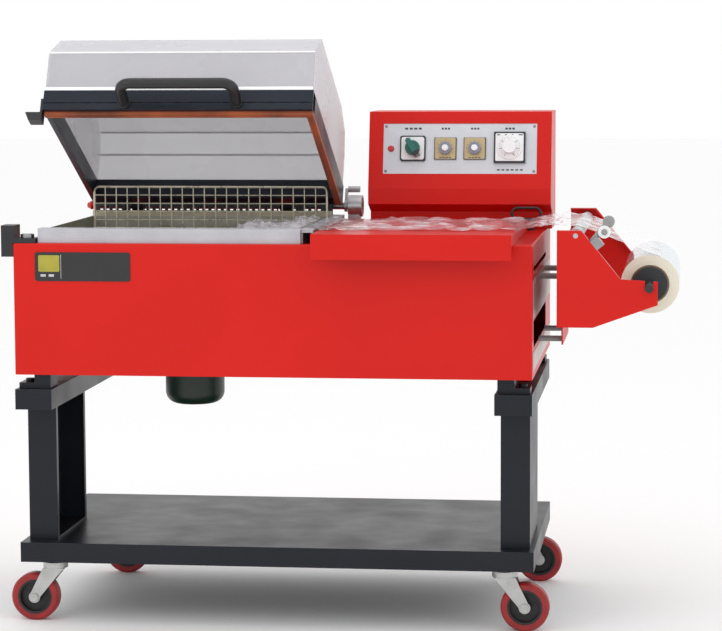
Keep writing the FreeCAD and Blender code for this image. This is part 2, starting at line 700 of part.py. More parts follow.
def chamber_tub():
    """Stainless liner, open at the top, whose rim stands above the deck."""
    wall = S.tub_wall
    outer = box("tub_outer", (S.tub_left, S.tub_front, TUB_BOTTOM), (S.tub_length, S.tub_depth, S.tub_height))
    inner = box("tub_inner", (S.tub_left + wall, S.tub_front + wall, TUB_BOTTOM + wall),
                (S.tub_length - 2 * wall, S.tub_depth - 2 * wall, S.tub_height))
    hole = rod("tub_shaft_hole", (MOTOR_X, S.motor_back, TUB_BOTTOM - PAST),
               S.shaft_radius + S.shaft_clear, wall + 2 * PAST)
    node("chamber_tub", MACHINE, cut("tub_cut", outer, inner, hole))


def spread(low, high, pitch):
    """Middles of the wires that fit between low and high at about the given pitch."""
    count = max(1, round((high.value - low.value) / pitch.value))
    return [low + (high - low) * (index / count) for index in range(1, count)]


GRID_Z = DECK + S.tub_rim - S.grid_drop
FENCE_Y = TUB_BACK - S.fence_setback


def product_grid():
    """Welded wire grid that carries the product: cross wires on a frame of thicker wire."""
    thick = S.frame_wire_radius
    left = FENCE_LEFT
    right = FENCE_LEFT + FENCE_LENGTH
    front = S.tub_front + S.tub_wall + thick + S.soft_gap
    back = FENCE_Y - thick
    wires = []
    for index, y in enumerate((front, back)):
        wires.append(rod(f"grid_long_{index}", (left, y, GRID_Z), thick, right - left, "x"))
    for index, x in enumerate((left, right)):
        wires.append(rod(f"grid_side_{index}", (x, front, GRID_Z - 2 * thick), thick, back - front, "y"))
    for index, x in enumerate(spread(left, right, S.mesh_pitch_x)):
        start = (x, front, GRID_Z - thick - S.wire_radius)
        wires.append(rod(f"grid_wire_{index}", start, S.wire_radius, back - front, "y"))
    for index, y in enumerate(spread(front, back, S.mesh_pitch_y)):
        start = (left, y, GRID_Z - thick + S.wire_radius)
        wires.append(rod(f"grid_cross_{index}", start, S.wire_radius, right - left, "x"))
    node("product_grid", MACHINE, *wires)


def mesh_fence():
    """Upright wire mesh at the back of the grid, with rounded upper corners."""
    thick = S.frame_wire_radius
    bend = S.fence_corner
    left = FENCE_LEFT
    right = FENCE_LEFT + FENCE_LENGTH
    top = DECK + S.fence_height - thick
    low = GRID_Z
    y = FENCE_Y + thick + S.soft_gap
    turn_left = FreeCAD.Rotation(SIDEWAYS, 90) * FreeCAD.Rotation(UPRIGHT, 90)
    turn_right = FreeCAD.Rotation(SIDEWAYS, 90)
    frame = fuse(
        "fence_frame",
        rod("fence_post_left", (left, y, low), thick, top - bend - low),
        rod("fence_post_right", (right, y, low), thick, top - bend - low),
        elbow("fence_bend_left", (left + bend, y, top - bend), bend, thick, turn_left),
        elbow("fence_bend_right", (right - bend, y, top - bend), bend, thick, turn_right),
        rod("fence_top", (left + bend, y, top), thick, right - left - 2 * bend, "x"),
        rod("fence_foot", (left, y, low), thick, right - left, "x"),
    )
    wires = [frame]
    behind = y + S.wire_radius
    for index, x in enumerate(spread(left, right, S.mesh_pitch_x)):
        wires.append(rod(f"fence_wire_{index}", (x, behind - 2 * S.wire_radius, low), S.wire_radius, top - low))
    for index, z in enumerate(spread(low, top, S.fence_pitch)):
        wires.append(rod(f"fence_row_{index}", (left, behind, z), S.wire_radius, right - left, "x"))
    node("mesh_fence", MACHINE, *wires)


ARM_SPANS = [S.arm_left, S.arm_right]


def chamber_back_panel():
    """Pale heat shield behind the fence, on the deck just behind the tub."""
    panel = box("back_shield", (S.tub_left, TUB_BACK + S.soft_gap, DECK),
                (S.tub_length, S.back_panel_sheet, S.back_panel_height))
    node("chamber_back_panel", MACHINE, panel)


def hinge_rail():
    """Black rail with a row of short slots, notched where the cover's arms pass."""
    front = TUB_BACK + S.rail_setback
    body = design("rail_plate")
    pad(body, "XZ", rectangle(S.tub_left, DECK, S.tub_length, S.rail_height), S.rail_sheet, front)
    low = DECK + S.rail_height - S.rail_slot_top - S.rail_slot_height
    outline = rectangle(S.tub_left + S.rail_slot_pitch, low, S.rail_slot_width, S.rail_slot_height)
    slot = pocket(body, "XZ", outline, S.rail_sheet + 2 * PAST, front - PAST)
    row = body.newObject("PartDesign::LinearPattern", "rail_slots")
    row.Originals = [slot]
    row.Direction = (slot.Profile[0], ["H_Axis"])
    row.Occurrences = int(S.rail_slots.value)
    bind(row, "Length", S.rail_slot_pitch * (S.rail_slots - 1))
    body.Tip = row
    doc.recompute()
    notches = []
    for index, middle in enumerate(ARM_SPANS):
        corner = (middle - S.arm_width / 2 - S.notch_gap, front - PAST, HINGE - S.arm_radius - S.bar_bottom)
        notch = (S.arm_width + 2 * S.notch_gap, S.rail_sheet + 2 * PAST, S.rail_height)
        notches.append(box(f"rail_notch_{index}", corner, notch))
    node("hinge_rail", MACHINE, cut("rail_cut", body, *notches))


def nameplate():
    body = design("plate_blank")
    top = DECK - S.plate_drop
    pad(body, "XZ", rectangle(S.plate_left, top - S.plate_height, S.plate_length, S.plate_height),
        S.plate_sheet, -S.plate_sheet)
    fillet(body, S.plate_round, runs_along("y"))
    node("nameplate", MACHINE, body)


# ---------------------------------------------------------------- seal bed, pad and magnet lock

BED_TOP = DECK + S.bed_height
BED_RIGHT = S.bed_left + BED_LENGTH


def seal_bed():
    """Aluminium channels under the sealing pads, along the front and along the right side."""
    inset = S.pad_sheet
    front = design("bed_front")
    low = S.bed_front + inset
    wide = S.bed_width - 2 * inset
    top = BED_TOP - inset
    wall = S.bed_wall
    pad(front, "YZ", [
        (low, DECK), (low + wall, DECK), (low + wall, top - wall), (low + wide - wall, top - wall),
        (low + wide - wall, DECK), (low + wide, DECK), (low + wide, top), (low, top),
    ], BED_LENGTH - 2 * inset, S.bed_left + inset)
    right = design("bed_right")
    top = BED_TOP - S.right_pad
    left = BED_RIGHT
    wide = S.right_bed_width
    pad(right, "XZ", [
        (left, DECK), (left + wall, DECK), (left + wall, top - wall), (left + wide - wall, top - wall),
        (left + wide - wall, DECK), (left + wide, DECK), (left + wide, top), (left, top),
    ], S.right_bed_back - S.right_bed_front, S.right_bed_front)
    node("seal_bed", MACHINE, front, right)


def seal_pad():
    """Silicone pads under glass cloth: a cap over the front channel and a strip on the right one."""
    low = S.bed_front
    high = low + S.bed_width
    sheet_in = S.pad_sheet
    cap = design("pad_front")
    pad(cap, "YZ", [
        (low, DECK), (low + sheet_in, DECK), (low + sheet_in, BED_TOP - sheet_in),
        (high - sheet_in, BED_TOP - sheet_in), (high - sheet_in, DECK), (high, DECK),
        (high, BED_TOP), (low, BED_TOP),
    ], BED_LENGTH, S.bed_left)
    top_edge = BED_TOP.value - SLACK
    fillet(cap, sheet_in - S.pad_edge, lambda edge: runs_along("x")(edge) and edge.BoundBox.ZMin > top_edge)
    strip = box("pad_right", (BED_RIGHT, S.right_bed_front, BED_TOP - S.right_pad),
                (S.right_bed_width, S.right_bed_back - S.right_bed_front, S.right_pad))
    node("seal_pad", MACHINE, cap, strip)


MAGNET_SHELF = DECK + S.magnet_shelf


def magnet_lock():
    """Stepped housing on the body's corner, with the electromagnet on its step."""
    body = design("magnet_housing")
    pad(body, "XZ", [
        (-S.magnet_out, DECK - S.magnet_drop), (0, DECK - S.magnet_drop), (0, DECK),
        (S.magnet_in, DECK), (S.magnet_in, MAGNET_SHELF), (S.magnet_step, MAGNET_SHELF),
        (S.magnet_step, DECK + S.magnet_top), (-S.magnet_out, DECK + S.magnet_top),
    ], S.magnet_depth, S.magnet_front)
    node("magnet_block", MACHINE, body)
    middle_x = (S.magnet_step + S.magnet_in) / 2
    middle_y = S.magnet_front + S.magnet_depth / 2
    coil = design("magnet_coil")
    revolve(coil, [
        (0, 0), (S.coil_radius, 0), (S.coil_radius, S.coil_height), (S.coil_ring_radius, S.coil_height),
        (S.coil_ring_radius, S.coil_height - S.coil_well), (S.coil_core_radius, S.coil_height - S.coil_well),
        (S.coil_core_radius, S.coil_height), (0, S.coil_height),
    ])
    node("electromagnet", ((X(middle_x), Y(middle_y), MAGNET_SHELF), UPRIGHT, 0), coil)


# ---------------------------------------------------------------- blower, heaters, transformer

BLOWER = ((X(MOTOR_X), Y(S.motor_back), TUB_BOTTOM), UPRIGHT, 0)


def blower_motor():
    """Flange-mounted motor that hangs under the tub and through the body's floor."""
    body = design("motor_can")
    bore = S.shaft_radius + S.fit
    revolve(body, [
        (0, -S.motor_reach), (S.motor_radius, -S.motor_reach), (S.motor_radius, -S.motor_flange),
        (S.motor_flange_radius, -S.motor_flange), (S.motor_flange_radius, 0), (bore, 0),
        (bore, -S.motor_bore), (0, -S.motor_bore),
    ])
    fillet(body, S.motor_round, lambda edge: edge.BoundBox.ZMax < 0.1 - S.motor_reach.value)
    node("blower_motor", BLOWER, body)


def fan_rotor():
    """Radial fan: a back plate with bent-back blades round a hub on the motor's shaft."""
    low = S.tub_wall + S.fan_lift
    body = design("fan_wheel")
    pad(body, "XY", ((0, 0), S.fan_radius), S.fan_plate, low)
    pad(body, "XY", ((0, 0), S.fan_hub_radius), S.fan_hub, low + S.fan_plate)
    pad(body, "XY", ((0, 0), S.shaft_radius), low + S.motor_bore, -S.motor_bore)
    lean = S.blade_lean
    tip = S.fan_radius - S.blade_inset
    blade = pad(body, "XY", [
        (S.blade_start, 0), (tip, lean), (tip, lean + S.fan_blade_sheet),
        (S.blade_start, S.fan_blade_sheet),
    ], S.fan_blade, low + S.fan_plate)
    ring = body.newObject("PartDesign::PolarPattern", "fan_blade_ring")
    ring.Originals = [blade]
    ring.Axis = (blade.Profile[0], ["N_Axis"])
    ring.Angle = 360
    ring.Occurrences = int(S.fan_blades.value)
    body.Tip = ring
    doc.recompute()
    node("fan_rotor", BLOWER, body)


def heater_tubes():
    """Two hairpin elements, one each side of the fan, through the tub's left wall."""
    z = TUB_BOTTOM + S.heater_height
    start = S.tub_left + S.tub_wall + S.soft_gap
    shapes = []
    upper = FreeCAD.Rotation(UPRIGHT, 0)
    lower = FreeCAD.Rotation(UPRIGHT, -90)
    for name, y in (("front", S.tub_front + S.heater_inset), ("rear", TUB_BACK - S.heater_inset)):
        bend_x = start + S.heater_length
        shapes.append(fuse(
            f"heater_{name}",
            rod(f"heater_{name}_leg_a", (start, y - S.heater_bend, z), S.heater_radius, S.heater_length, "x"),
            rod(f"heater_{name}_leg_b", (start, y + S.heater_bend, z), S.heater_radius, S.heater_length, "x"),
            elbow(f"heater_{name}_bend_a", (bend_x, y, z), S.heater_bend, S.heater_radius, upper),
            elbow(f"heater_{name}_bend_b", (bend_x, y, z), S.heater_bend, S.heater_radius, lower),
        ))
    node("heater_tubes", MACHINE, *shapes)


def sealing_transformer():
    """Laminated core with two windows and a coil round its middle limb."""
    floor = BODY_BOTTOM + S.body_wall
    limb = S.core_limb
    core = design("transformer_core")
    pad(core, "XZ", rectangle(CORE_LEFT, floor, S.core_length, S.core_height), S.core_depth, S.core_front)
    window = (S.core_length - 3 * limb) / 2
    for index in range(2):
        low = CORE_LEFT + limb + (window + limb) * index
        pocket(core, "XZ", rectangle(low, floor + limb, window, S.core_height - 2 * limb),
               S.core_depth + 2 * PAST, S.core_front - PAST)
    middle = CORE_LEFT + limb + window
    clear = S.coil_clear
    reach = window - 2 * clear
    coil = design("transformer_coil")
    outer = rectangle(middle - clear - reach, S.core_front - S.coil_margin - clear,
                      limb + 2 * (clear + reach), S.core_depth + 2 * (clear + S.coil_margin))
    hole = rectangle(middle - clear, S.core_front - clear, limb + 2 * clear, S.core_depth + 2 * clear)
    pad(coil, "XY", outer, S.core_height - 2 * limb, floor + limb, holes=[hole])
    node("sealing_transformer", MACHINE, core, coil)


# ---------------------------------------------------------------- hinge

def hinge_brackets():
    """Two upright plates on the deck with a rounded head and a bore for the shaft."""
    plates = []
    for index, left in enumerate((S.bracket_left, S.bracket_right)):
        body = design(f"bracket_{index}")
        low = S.hinge_back - S.bracket_depth / 2
        profile = [
            (low, DECK), (low + S.bracket_depth, DECK),
            (S.hinge_back + S.bracket_round, HINGE), (S.hinge_back - S.bracket_round, HINGE),
        ]
        pad(body, "YZ", profile, S.bracket_sheet, left)
        pad(body, "YZ", ((S.hinge_back, HINGE), S.bracket_round), S.bracket_sheet, left)
        pocket(body, "YZ", ((S.hinge_back, HINGE), S.hinge_radius + S.fit), S.bracket_sheet + 2 * PAST, left - PAST)
        plates.append(body)
    node("hinge_brackets", MACHINE, *plates)


def spring_drum():
    """Counterbalance spring drum on a foot at the shaft's right end."""
    body = design("drum_body")
    centre = (S.hinge_back, HINGE)
    pad(body, "YZ", (centre, S.drum_radius), S.drum_length, DRUM_LEFT)
    foot = rectangle(S.hinge_back - S.drum_foot / 2, DECK, S.drum_foot, S.hinge_lift)
    pad(body, "YZ", foot, S.drum_length - S.drum_cap, DRUM_LEFT)
    lip = DRUM_LEFT + S.drum_length - S.drum_lip
    pocket(body, "YZ", (centre, S.drum_radius - S.drum_cap), S.drum_lip, lip)
    pocket(body, "YZ", (centre, S.hinge_radius + S.fit), S.drum_length + 2 * PAST, DRUM_LEFT - PAST)
    node("spring_drum", MACHINE, body)


def hinge_shaft():
    body = design("shaft_bar")
    pad(body, "YZ", ((0, 0), S.hinge_radius), SHAFT_RIGHT - S.shaft_left, S.shaft_left)
    node("hinge_shaft", COVER, body)


def hinge_knob():
    """Red tapered knob on the shaft's left end."""
    knob = design("knob_cone")
    revolve(knob, [
        (0, 0), (S.knob_tip, 0), (S.knob_radius, S.knob_shoulder), (S.knob_end_radius, S.knob_length),
        (0, S.knob_length),
    ])
    frame = ((X(S.shaft_left - S.knob_length), Y(S.hinge_back), HINGE), FreeCAD.Vector(0, 1, 0), 90)
    node("hinge_knob", frame, knob)


# ---------------------------------------------------------------- cover

COVER_RIGHT = S.cover_left + COVER_LENGTH
BAR_HEIGHT = S.bar_bottom + S.bar_top


def cover_front_bar():
    """Black extruded bar with a groove along its face, hollow inside."""
    front = -S.cover_reach
    back = front + S.front_bar_width
    groove = S.groove_lift - S.bar_bottom
    body = design("front_bar")
    pad(body, "YZ", [
        (front, -S.bar_bottom), (back, -S.bar_bottom), (back, S.bar_top), (front, S.bar_top),
        (front, groove + S.groove_height), (front + S.groove_depth, groove + S.groove_height),
        (front + S.groove_depth, groove), (front, groove),
    ], COVER_LENGTH, S.cover_left)
    wall = S.bar_wall + S.groove_depth
    inner = rectangle(front + wall, S.bar_wall - S.bar_bottom,
                      S.front_bar_width - wall - S.bar_wall, BAR_HEIGHT - 2 * S.bar_wall)
    pocket(body, "YZ", inner, COVER_LENGTH + 2 * PAST, S.cover_left - PAST)
    node("cover_front_bar", COVER, body)


def cover_frame():
    """Side bars and rear bar as one welded frame, with the two arms that clamp the shaft."""
    left = S.cover_left
    right = COVER_RIGHT
    side = S.side_bar_width
    front = S.front_bar_width - S.cover_reach
    rear = -S.cover_rear
    body = design("frame_bars")
    pad(body, "XY", [
        (left, front), (left + side, front), (left + side, rear - S.rear_bar_width),
        (right - side, rear - S.rear_bar_width), (right - side, front), (right, front),
        (right, rear), (left, rear),
    ], BAR_HEIGHT, -S.bar_bottom)
    for middle in ARM_SPANS:
        low = middle - S.arm_width / 2
        pad(body, "YZ", rectangle(rear, -S.bar_bottom, S.cover_rear, S.arm_radius), S.arm_width, low)
        pad(body, "YZ", ((0, 0), S.arm_radius), S.arm_width, low)
        pocket(body, "YZ", ((0, 0), S.hinge_radius + S.fit), S.arm_width + 2 * PAST, low - PAST)
    node("cover_frame", COVER, body)


def cover_dome():
    """Clear folded hood: a flat top with sloping front and rear folds, open underneath."""
    front = S.dome_setback - S.cover_reach
    body = design("dome_block")
    rear = -S.cover_rear
    pad(body, "YZ", [
        (front, S.bar_top), (front, S.dome_front_bend), (front + S.dome_front_run, S.dome_top),
        (-S.dome_rear_run, S.dome_top), (rear - S.dome_rear_step, S.dome_rear_bend),
        (rear, S.dome_rear_low), (rear, S.bar_top),
    ], COVER_LENGTH - 2 * S.dome_setback, S.cover_left + S.dome_setback)
    node("cover_dome", COVER, hollow("dome_sheet", body, S.dome_sheet, lowest_face(body)))


def cover_handle():
    """Round grip on two bent legs, which slant up from round feet on the front bar."""
    bend = S.grip_bend
    radius = S.grip_radius
    left = S.grip_left
    right = left + S.grip_length
    turn = bend - S.grip_reach
    face = -S.cover_reach
    legs = [("left", left), ("right", right)]
    bow = fuse(
        "grip_bow",
        rod("grip_bar", (left + bend, -S.grip_reach, 0), radius, S.grip_length - 2 * bend, "x"),
        elbow("grip_bend_left", (left + bend, turn, 0), bend, radius, FreeCAD.Rotation(UPRIGHT, 180)),
        elbow("grip_bend_right", (right - bend, turn, 0), bend, radius, FreeCAD.Rotation(UPRIGHT, -90)),
        *[rod(f"grip_leg_{name}", (x, turn, 0), radius, radius - turn, "y") for name, x in legs],
    )
    locate(bow, ((0, face, S.grip_lift), SIDEWAYS, -S.grip_slant))
    behind = box("grip_behind", (left - 2 * radius, face, S.grip_lift - 2 * radius),
                 (S.grip_length + 4 * radius, 2 * radius, 4 * radius))
    feet = [
        rod(f"grip_foot_{name}", (x, face - S.grip_foot, S.grip_lift), S.grip_foot_radius, S.grip_foot, "y")
        for name, x in legs
    ]
    node("cover_handle", COVER, fuse("grip", cut("grip_flush", bow, behind), *feet))


def knife_strip():
    """L-shaped insulating strip under the front and right bars, with the thin sealing blade."""
    left = S.cover_left + S.dome_setback
    right = COVER_RIGHT
    middle = S.front_bar_width / 2 - S.cover_reach
    front = middle - S.knife_width / 2
    back = middle + S.knife_width / 2
    rear = -S.hinge_back + S.right_bed_back
    body = design("knife_holder")
    top = -S.bar_bottom
    pad(body, "XY", [
        (left, front), (right, front), (right, rear), (right - S.knife_width, rear),
        (right - S.knife_width, back), (left, back),
    ], S.knife_height, top - S.knife_height)
    inset = (S.knife_width - S.blade_width) / 2
    pad(body, "XY", [
        (left + inset, front + inset), (right - inset, front + inset), (right - inset, rear - inset),
        (right - S.knife_width + inset, rear - inset), (right - S.knife_width + inset, back - inset),
        (left + inset, back - inset),
    ], S.blade_height, top - S.knife_height - S.blade_height)
    node("knife_strip", COVER, body)


def armature_arm():
    """Lug on the front bar's left end whose flat underside meets the electromagnet."""
    top = -S.lug_top
    bottom = -S.lug_bottom
    inner = S.cover_left - S.lug_gap
    upright = S.cover_left - S.lug_sheet
    step = -S.bar_bottom - S.lug_gap
    body = design("armature_lug")
    pad(body, "XZ", [
        (S.lug_left, top), (S.lug_left + S.lug_slant, bottom), (inner, bottom), (inner, step),
        (S.cover_left, step), (S.cover_left, S.lug_rise), (upright, S.lug_rise), (upright, top),
    ], S.lug_depth, S.lug_inset - S.cover_reach)
    node("armature_arm", COVER, body)


def stop_arm():
    """Short lever on the shaft beside the drum, with a rubber bumper at its end."""
    left = COVER_RIGHT + S.stop_gap
    body = design("stop_lever")
    half = S.stop_width / 2
    pad(body, "YZ", ((0, 0), S.arm_radius), S.stop_sheet, left)
    pad(body, "YZ", rectangle(-half, 0, S.stop_width, S.stop_lift), S.stop_sheet, left)
    pocket(body, "YZ", ((0, 0), S.hinge_radius + S.fit), S.stop_sheet + 2 * PAST, left - PAST)
    bumper = rod("stop_bumper", (left + S.stop_sheet, 0, S.stop_lift), S.bumper_radius, S.bumper_length, "x")
    node("stop_arm", COVER, body, bumper)


# ---------------------------------------------------------------- control box

BOX_TOP = DECK + S.box_height
PANEL_LEAN = slope_angle(S.box_top_front - S.box_bend_front, S.box_height - S.box_bend)


def panel_frame():
    """Frame on the outer face of the sloping front, at the middle of the panel."""
    rise = S.box_height - S.box_bend
    share = S.panel_lift / rise
    y = S.box_bend_front + (S.box_top_front - S.box_bend_front) * share
    z = DECK + S.box_bend + S.panel_lift
    return (X(BOX_LEFT + S.box_length / 2), Y(y), z), SIDEWAYS, -PANEL_LEAN


PANEL = panel_frame()


def control_box():
    """Folded hood on the deck: sloping front, upright band and undercut, open underneath."""
    body = design("control_block")
    pad(body, "YZ", [
        (S.box_recess_front, DECK), (S.body_depth, DECK), (S.body_depth, BOX_TOP), (S.box_top_front, BOX_TOP),
        (S.box_bend_front, DECK + S.box_bend), (S.box_bend_front, DECK + S.box_band),
        (S.box_recess_front, DECK + S.box_recess),
    ], S.box_length, BOX_LEFT)
    shell = hollow("control_shell", body, S.box_wall, lowest_face(body))
    window = box("panel_window", (-S.panel_length / 2, -S.window_cut, -S.panel_height / 2),
                 (S.panel_length, 2 * S.window_cut, S.panel_height))
    placed = doc.addObject("Part::Compound", "panel_window_placed")
    placed.Links = [window]
    corner, axis, angle = PANEL
    machine_corner = (corner[0] + S.origin_right, corner[1] + S.origin_back, corner[2])
    locate(placed, (machine_corner, axis, angle))
    node("control_box", MACHINE, cut("control_cut", shell, placed))


def control_panel():
    """Aluminium plate behind the window, with a hole for each device's spindle."""
    body = design("panel_plate")
    length = S.panel_length + 2 * S.panel_margin
    height = S.panel_height + 2 * S.panel_margin
    lifts = {"switch": 0, "timer_left": 0, "timer_right": 0, "thermostat": S.thermo_lift}
    holes = [((DEVICE_X[name], lift), S.spindle_radius + S.fit) for name, lift in lifts.items()]
    outline = rectangle(-length / 2, -height / 2, length, height)
    pad(body, "XZ", outline, S.panel_sheet, S.box_wall, holes=holes)
    node("control_panel", PANEL, body)


DEVICE_X = {
    "lamp": S.lamp_left - S.panel_length / 2,
    "switch": S.switch_left - S.panel_length / 2,
    "timer_left": S.timer_left - S.panel_length / 2,
    "timer_right": S.timer_left + S.timer_step - S.panel_length / 2,
    "thermostat": S.thermo_left - S.panel_length / 2,
}


def bezel(name, x, side, thick, lift=0):
    """Square plate on the panel, with rounded corners and a hole for the spindle."""
    body = design(name)
    pad(body, "XZ", rectangle(x - side / 2, lift - side / 2, side, side), thick, S.box_wall - thick,
        holes=[((x, lift), S.spindle_radius + S.fit)])
    return body


def control_bezels():
    switch = bezel("switch_plate", DEVICE_X["switch"], S.switch_side, S.switch_plate)
    fillet(switch, S.bezel_round, runs_along("y"))
    left = bezel("timer_plate_left", DEVICE_X["timer_left"], S.timer_side, S.timer_plate)
    right = bezel("timer_plate_right", DEVICE_X["timer_right"], S.timer_side, S.timer_plate)
    thermo = bezel("thermo_plate_body", DEVICE_X["thermostat"], S.thermo_side, S.thermo_plate, S.thermo_lift)
    node("control_bezels", PANEL, switch, left, right, thermo)


def pilot_lamp():
    """Red lens with a domed end."""
    lens = design("lamp_lens")
    x = DEVICE_X["lamp"]
    pad(lens, "XZ", ((x, 0), S.lamp_radius), S.lamp_reach, S.box_wall - S.lamp_reach)
    fillet(lens, S.lamp_dome, lambda edge: edge.BoundBox.YMax < S.box_wall.value - S.lamp_reach.value + SLACK)
    node("pilot_lamp", PANEL, lens)


def spindle(body, x, lift, plate):
    """Shaft from the knob's back through its plate into the panel."""
    start = S.box_wall - plate - S.spindle_gap
    pad(body, "XZ", ((x, lift), S.spindle_radius), plate + S.spindle_gap + S.panel_sheet + S.spindle_end, start)


def knobs():
    gap = S.spindle_gap
    x = DEVICE_X["switch"]
    back = S.box_wall - S.switch_plate - gap
    switch = design("switch_knob_body")
    pad(switch, "XZ", ((x, 0), S.switch_knob_radius), S.switch_knob, back - S.switch_knob)
    half = S.switch_grip_width / 2
    reach = S.switch_grip_length / 2
    grip = [
        (-half, S.switch_grip_shoulder), (-half, -reach), (half, -reach), (half, S.switch_grip_shoulder),
        (0, reach),
    ]
    turn = S.switch_turn
    turned = [(x + u * cosine(turn) - v * sine(turn), u * sine(turn) + v * cosine(turn)) for u, v in grip]
    pad(switch, "XZ", turned, S.switch_grip + S.switch_knob, back - S.switch_knob - S.switch_grip)
    spindle(switch, x, 0, S.switch_plate)
    node("cam_switch_knob", PANEL, switch)
    for side in ("left", "right"):
        x = DEVICE_X[f"timer_{side}"]
        back = S.box_wall - S.timer_plate - gap
        dial = design(f"timer_dial_{side}")
        pad(dial, "XZ", ((x, 0), S.timer_knob_radius), S.timer_knob, back - S.timer_knob)
        pad(dial, "XZ", ((x, 0), S.timer_cap_radius), S.timer_cap, back - S.timer_knob - S.timer_cap)
        low = S.timer_cap_radius - S.pointer_inset
        reach = S.timer_knob_radius - S.timer_cap_radius
        pointer = rectangle(x - S.pointer_width / 2, low, S.pointer_width, reach)
        pad(dial, "XZ", pointer, S.pointer_height, back - S.timer_knob - S.pointer_height)
        spindle(dial, x, 0, S.timer_plate)
        node(f"timer_knob_{side}", PANEL, dial)
    x = DEVICE_X["thermostat"]
    lift = S.thermo_lift
    back = S.box_wall - S.thermo_plate - gap
    dial = design("thermo_dial")
    pad(dial, "XZ", ((x, lift), S.thermo_skirt_radius), S.thermo_skirt, back - S.thermo_skirt)
    pad(dial, "XZ", ((x, lift), S.thermo_knob_radius), S.thermo_knob, back - S.thermo_skirt - S.thermo_knob)
    low = lift + S.thermo_knob_radius - S.pointer_inset
    reach = S.thermo_skirt_radius - S.thermo_knob_radius
    pointer = rectangle(x - S.pointer_width / 2, low, S.pointer_width, reach)
    pad(dial, "XZ", pointer, S.pointer_height, back - S.thermo_skirt - S.pointer_height)
    spindle(dial, x, lift, S.thermo_plate)
    node("thermostat_knob", PANEL, dial)


# ---------------------------------------------------------------- loading tray

TRAY_TOP = DECK + S.tray_lift


def loading_tray():
    """Folded table on the deck with a deep front lip that hangs before the body."""
    front = -S.tray_front
    sheet_in = S.tray_sheet
    bottom = TRAY_TOP - S.tray_lip
    outer = box("tray_outer", (TRAY_LEFT, front, bottom), (S.tray_length, S.tray_depth, S.tray_lip))
    inner = box("tray_inner", (TRAY_LEFT + sheet_in, front + sheet_in, bottom - PAST),
                (S.tray_length - 2 * sheet_in, S.tray_depth - 2 * sheet_in, S.tray_lip + PAST - sheet_in))
    low = DECK + S.slide_gap
    under = box("tray_under", (TRAY_LEFT - PAST, front + sheet_in, bottom - PAST),
                (S.tray_length + 2 * PAST, S.tray_depth, low - bottom + PAST))
    node("loading_tray", MACHINE, cut("tray_cut", outer, inner, under))


# ---------------------------------------------------------------- film cradle

CRADLE_LEFT = BODY_LENGTH + S.cradle_left
CRADLE_TOP = DECK + S.cradle_top


def cradle_outline(lift, shift):
    """Side plate's corners; lift and shift raise its top and push its slope outwards."""
    left = CRADLE_LEFT
    bottom = DECK - S.cradle_bottom
    heel = DECK - S.cradle_slope_drop
    return [
        (left, bottom), (left, CRADLE_TOP + lift), (left + S.cradle_top_length + shift, CRADLE_TOP + lift),
        (left + S.cradle_slope_run + shift, heel + lift), (left + S.arm_tip_run, DECK - S.arm_tip_top + lift),
        (left + S.arm_tip_run, DECK - S.arm_tip_bottom), (left + S.cradle_bend_run, bottom),
    ]


ROLL_X = BODY_LENGTH + S.roll_run
ROLL_Z = DECK - S.roll_drop
ROLLER_X = BODY_LENGTH + S.roller_run
ROLLER_Z = DECK + S.roller_lift


def cradle_plate(name, start, flange_start, lift=0, shift=0):
    """Side plate with a folded flange along its top and slope and a slot for the film shaft."""
    body = design(name)
    points = cradle_outline(sized(lift), sized(shift))
    pad(body, "XZ", points, S.cradle_sheet, start)
    left, top = points[1]
    knee = points[2]
    heel = points[3]
    sheet_in = S.cradle_sheet
    pad(body, "XZ", [
        (left, top - sheet_in), (left, top), knee, heel, (heel[0] - sheet_in, heel[1]),
        (knee[0] - sheet_in, top - sheet_in),
    ], S.cradle_flange, flange_start)
    half = S.film_shaft_radius + S.fit
    through = S.cradle_sheet + 2 * PAST
    pocket(body, "XZ", rectangle(ROLL_X - half, ROLL_Z, 2 * half, S.roll_drop), through, start - PAST)
    pocket(body, "XZ", ((ROLL_X, ROLL_Z), half), through, start - PAST)
    pocket(body, "XZ", ((ROLLER_X, ROLLER_Z), S.roller_journal + S.fit), through, start - PAST)
    return body


def cradle_plates():
    front = S.cradle_front
    back = S.cradle_back
    flange = back + S.cradle_sheet - S.cradle_flange
    node("cradle_plate_front", MACHINE, cradle_plate("front_plate", front, front))
    plate = cradle_plate("back_plate", back, flange, S.cradle_back_lift, S.cradle_back_shift)
    node("cradle_plate_back", MACHINE, plate)


def cradle_bars():
    """Cross plate between the side plates and the studs that hold it off the body."""
    front = S.cradle_front + S.cradle_sheet
    back = S.cradle_back
    low = DECK - S.cross_low
    tongue = DECK - S.tongue_low
    taper = S.tongue_taper
    cross = design("cross_plate")
    pad(cross, "YZ", [
        (front, DECK - S.cross_top), (front, low), (S.tongue_front, low), (S.tongue_front + taper, tongue),
        (S.tongue_back - taper, tongue), (S.tongue_back, low), (back, low), (back, DECK - S.cross_top),
    ], S.cradle_sheet, CRADLE_LEFT)
    studs = []
    for name, y in (("front", S.stud_front), ("rear", S.stud_rear)):
        for level, drop in (("upper", S.stud_upper), ("lower", S.stud_lower)):
            start = (BODY_LENGTH, y, DECK - drop)
            studs.append(rod(f"stud_{name}_{level}", start, S.stud_radius, S.cradle_left, "x"))
    node("cradle_bars", MACHINE, cross, *studs)


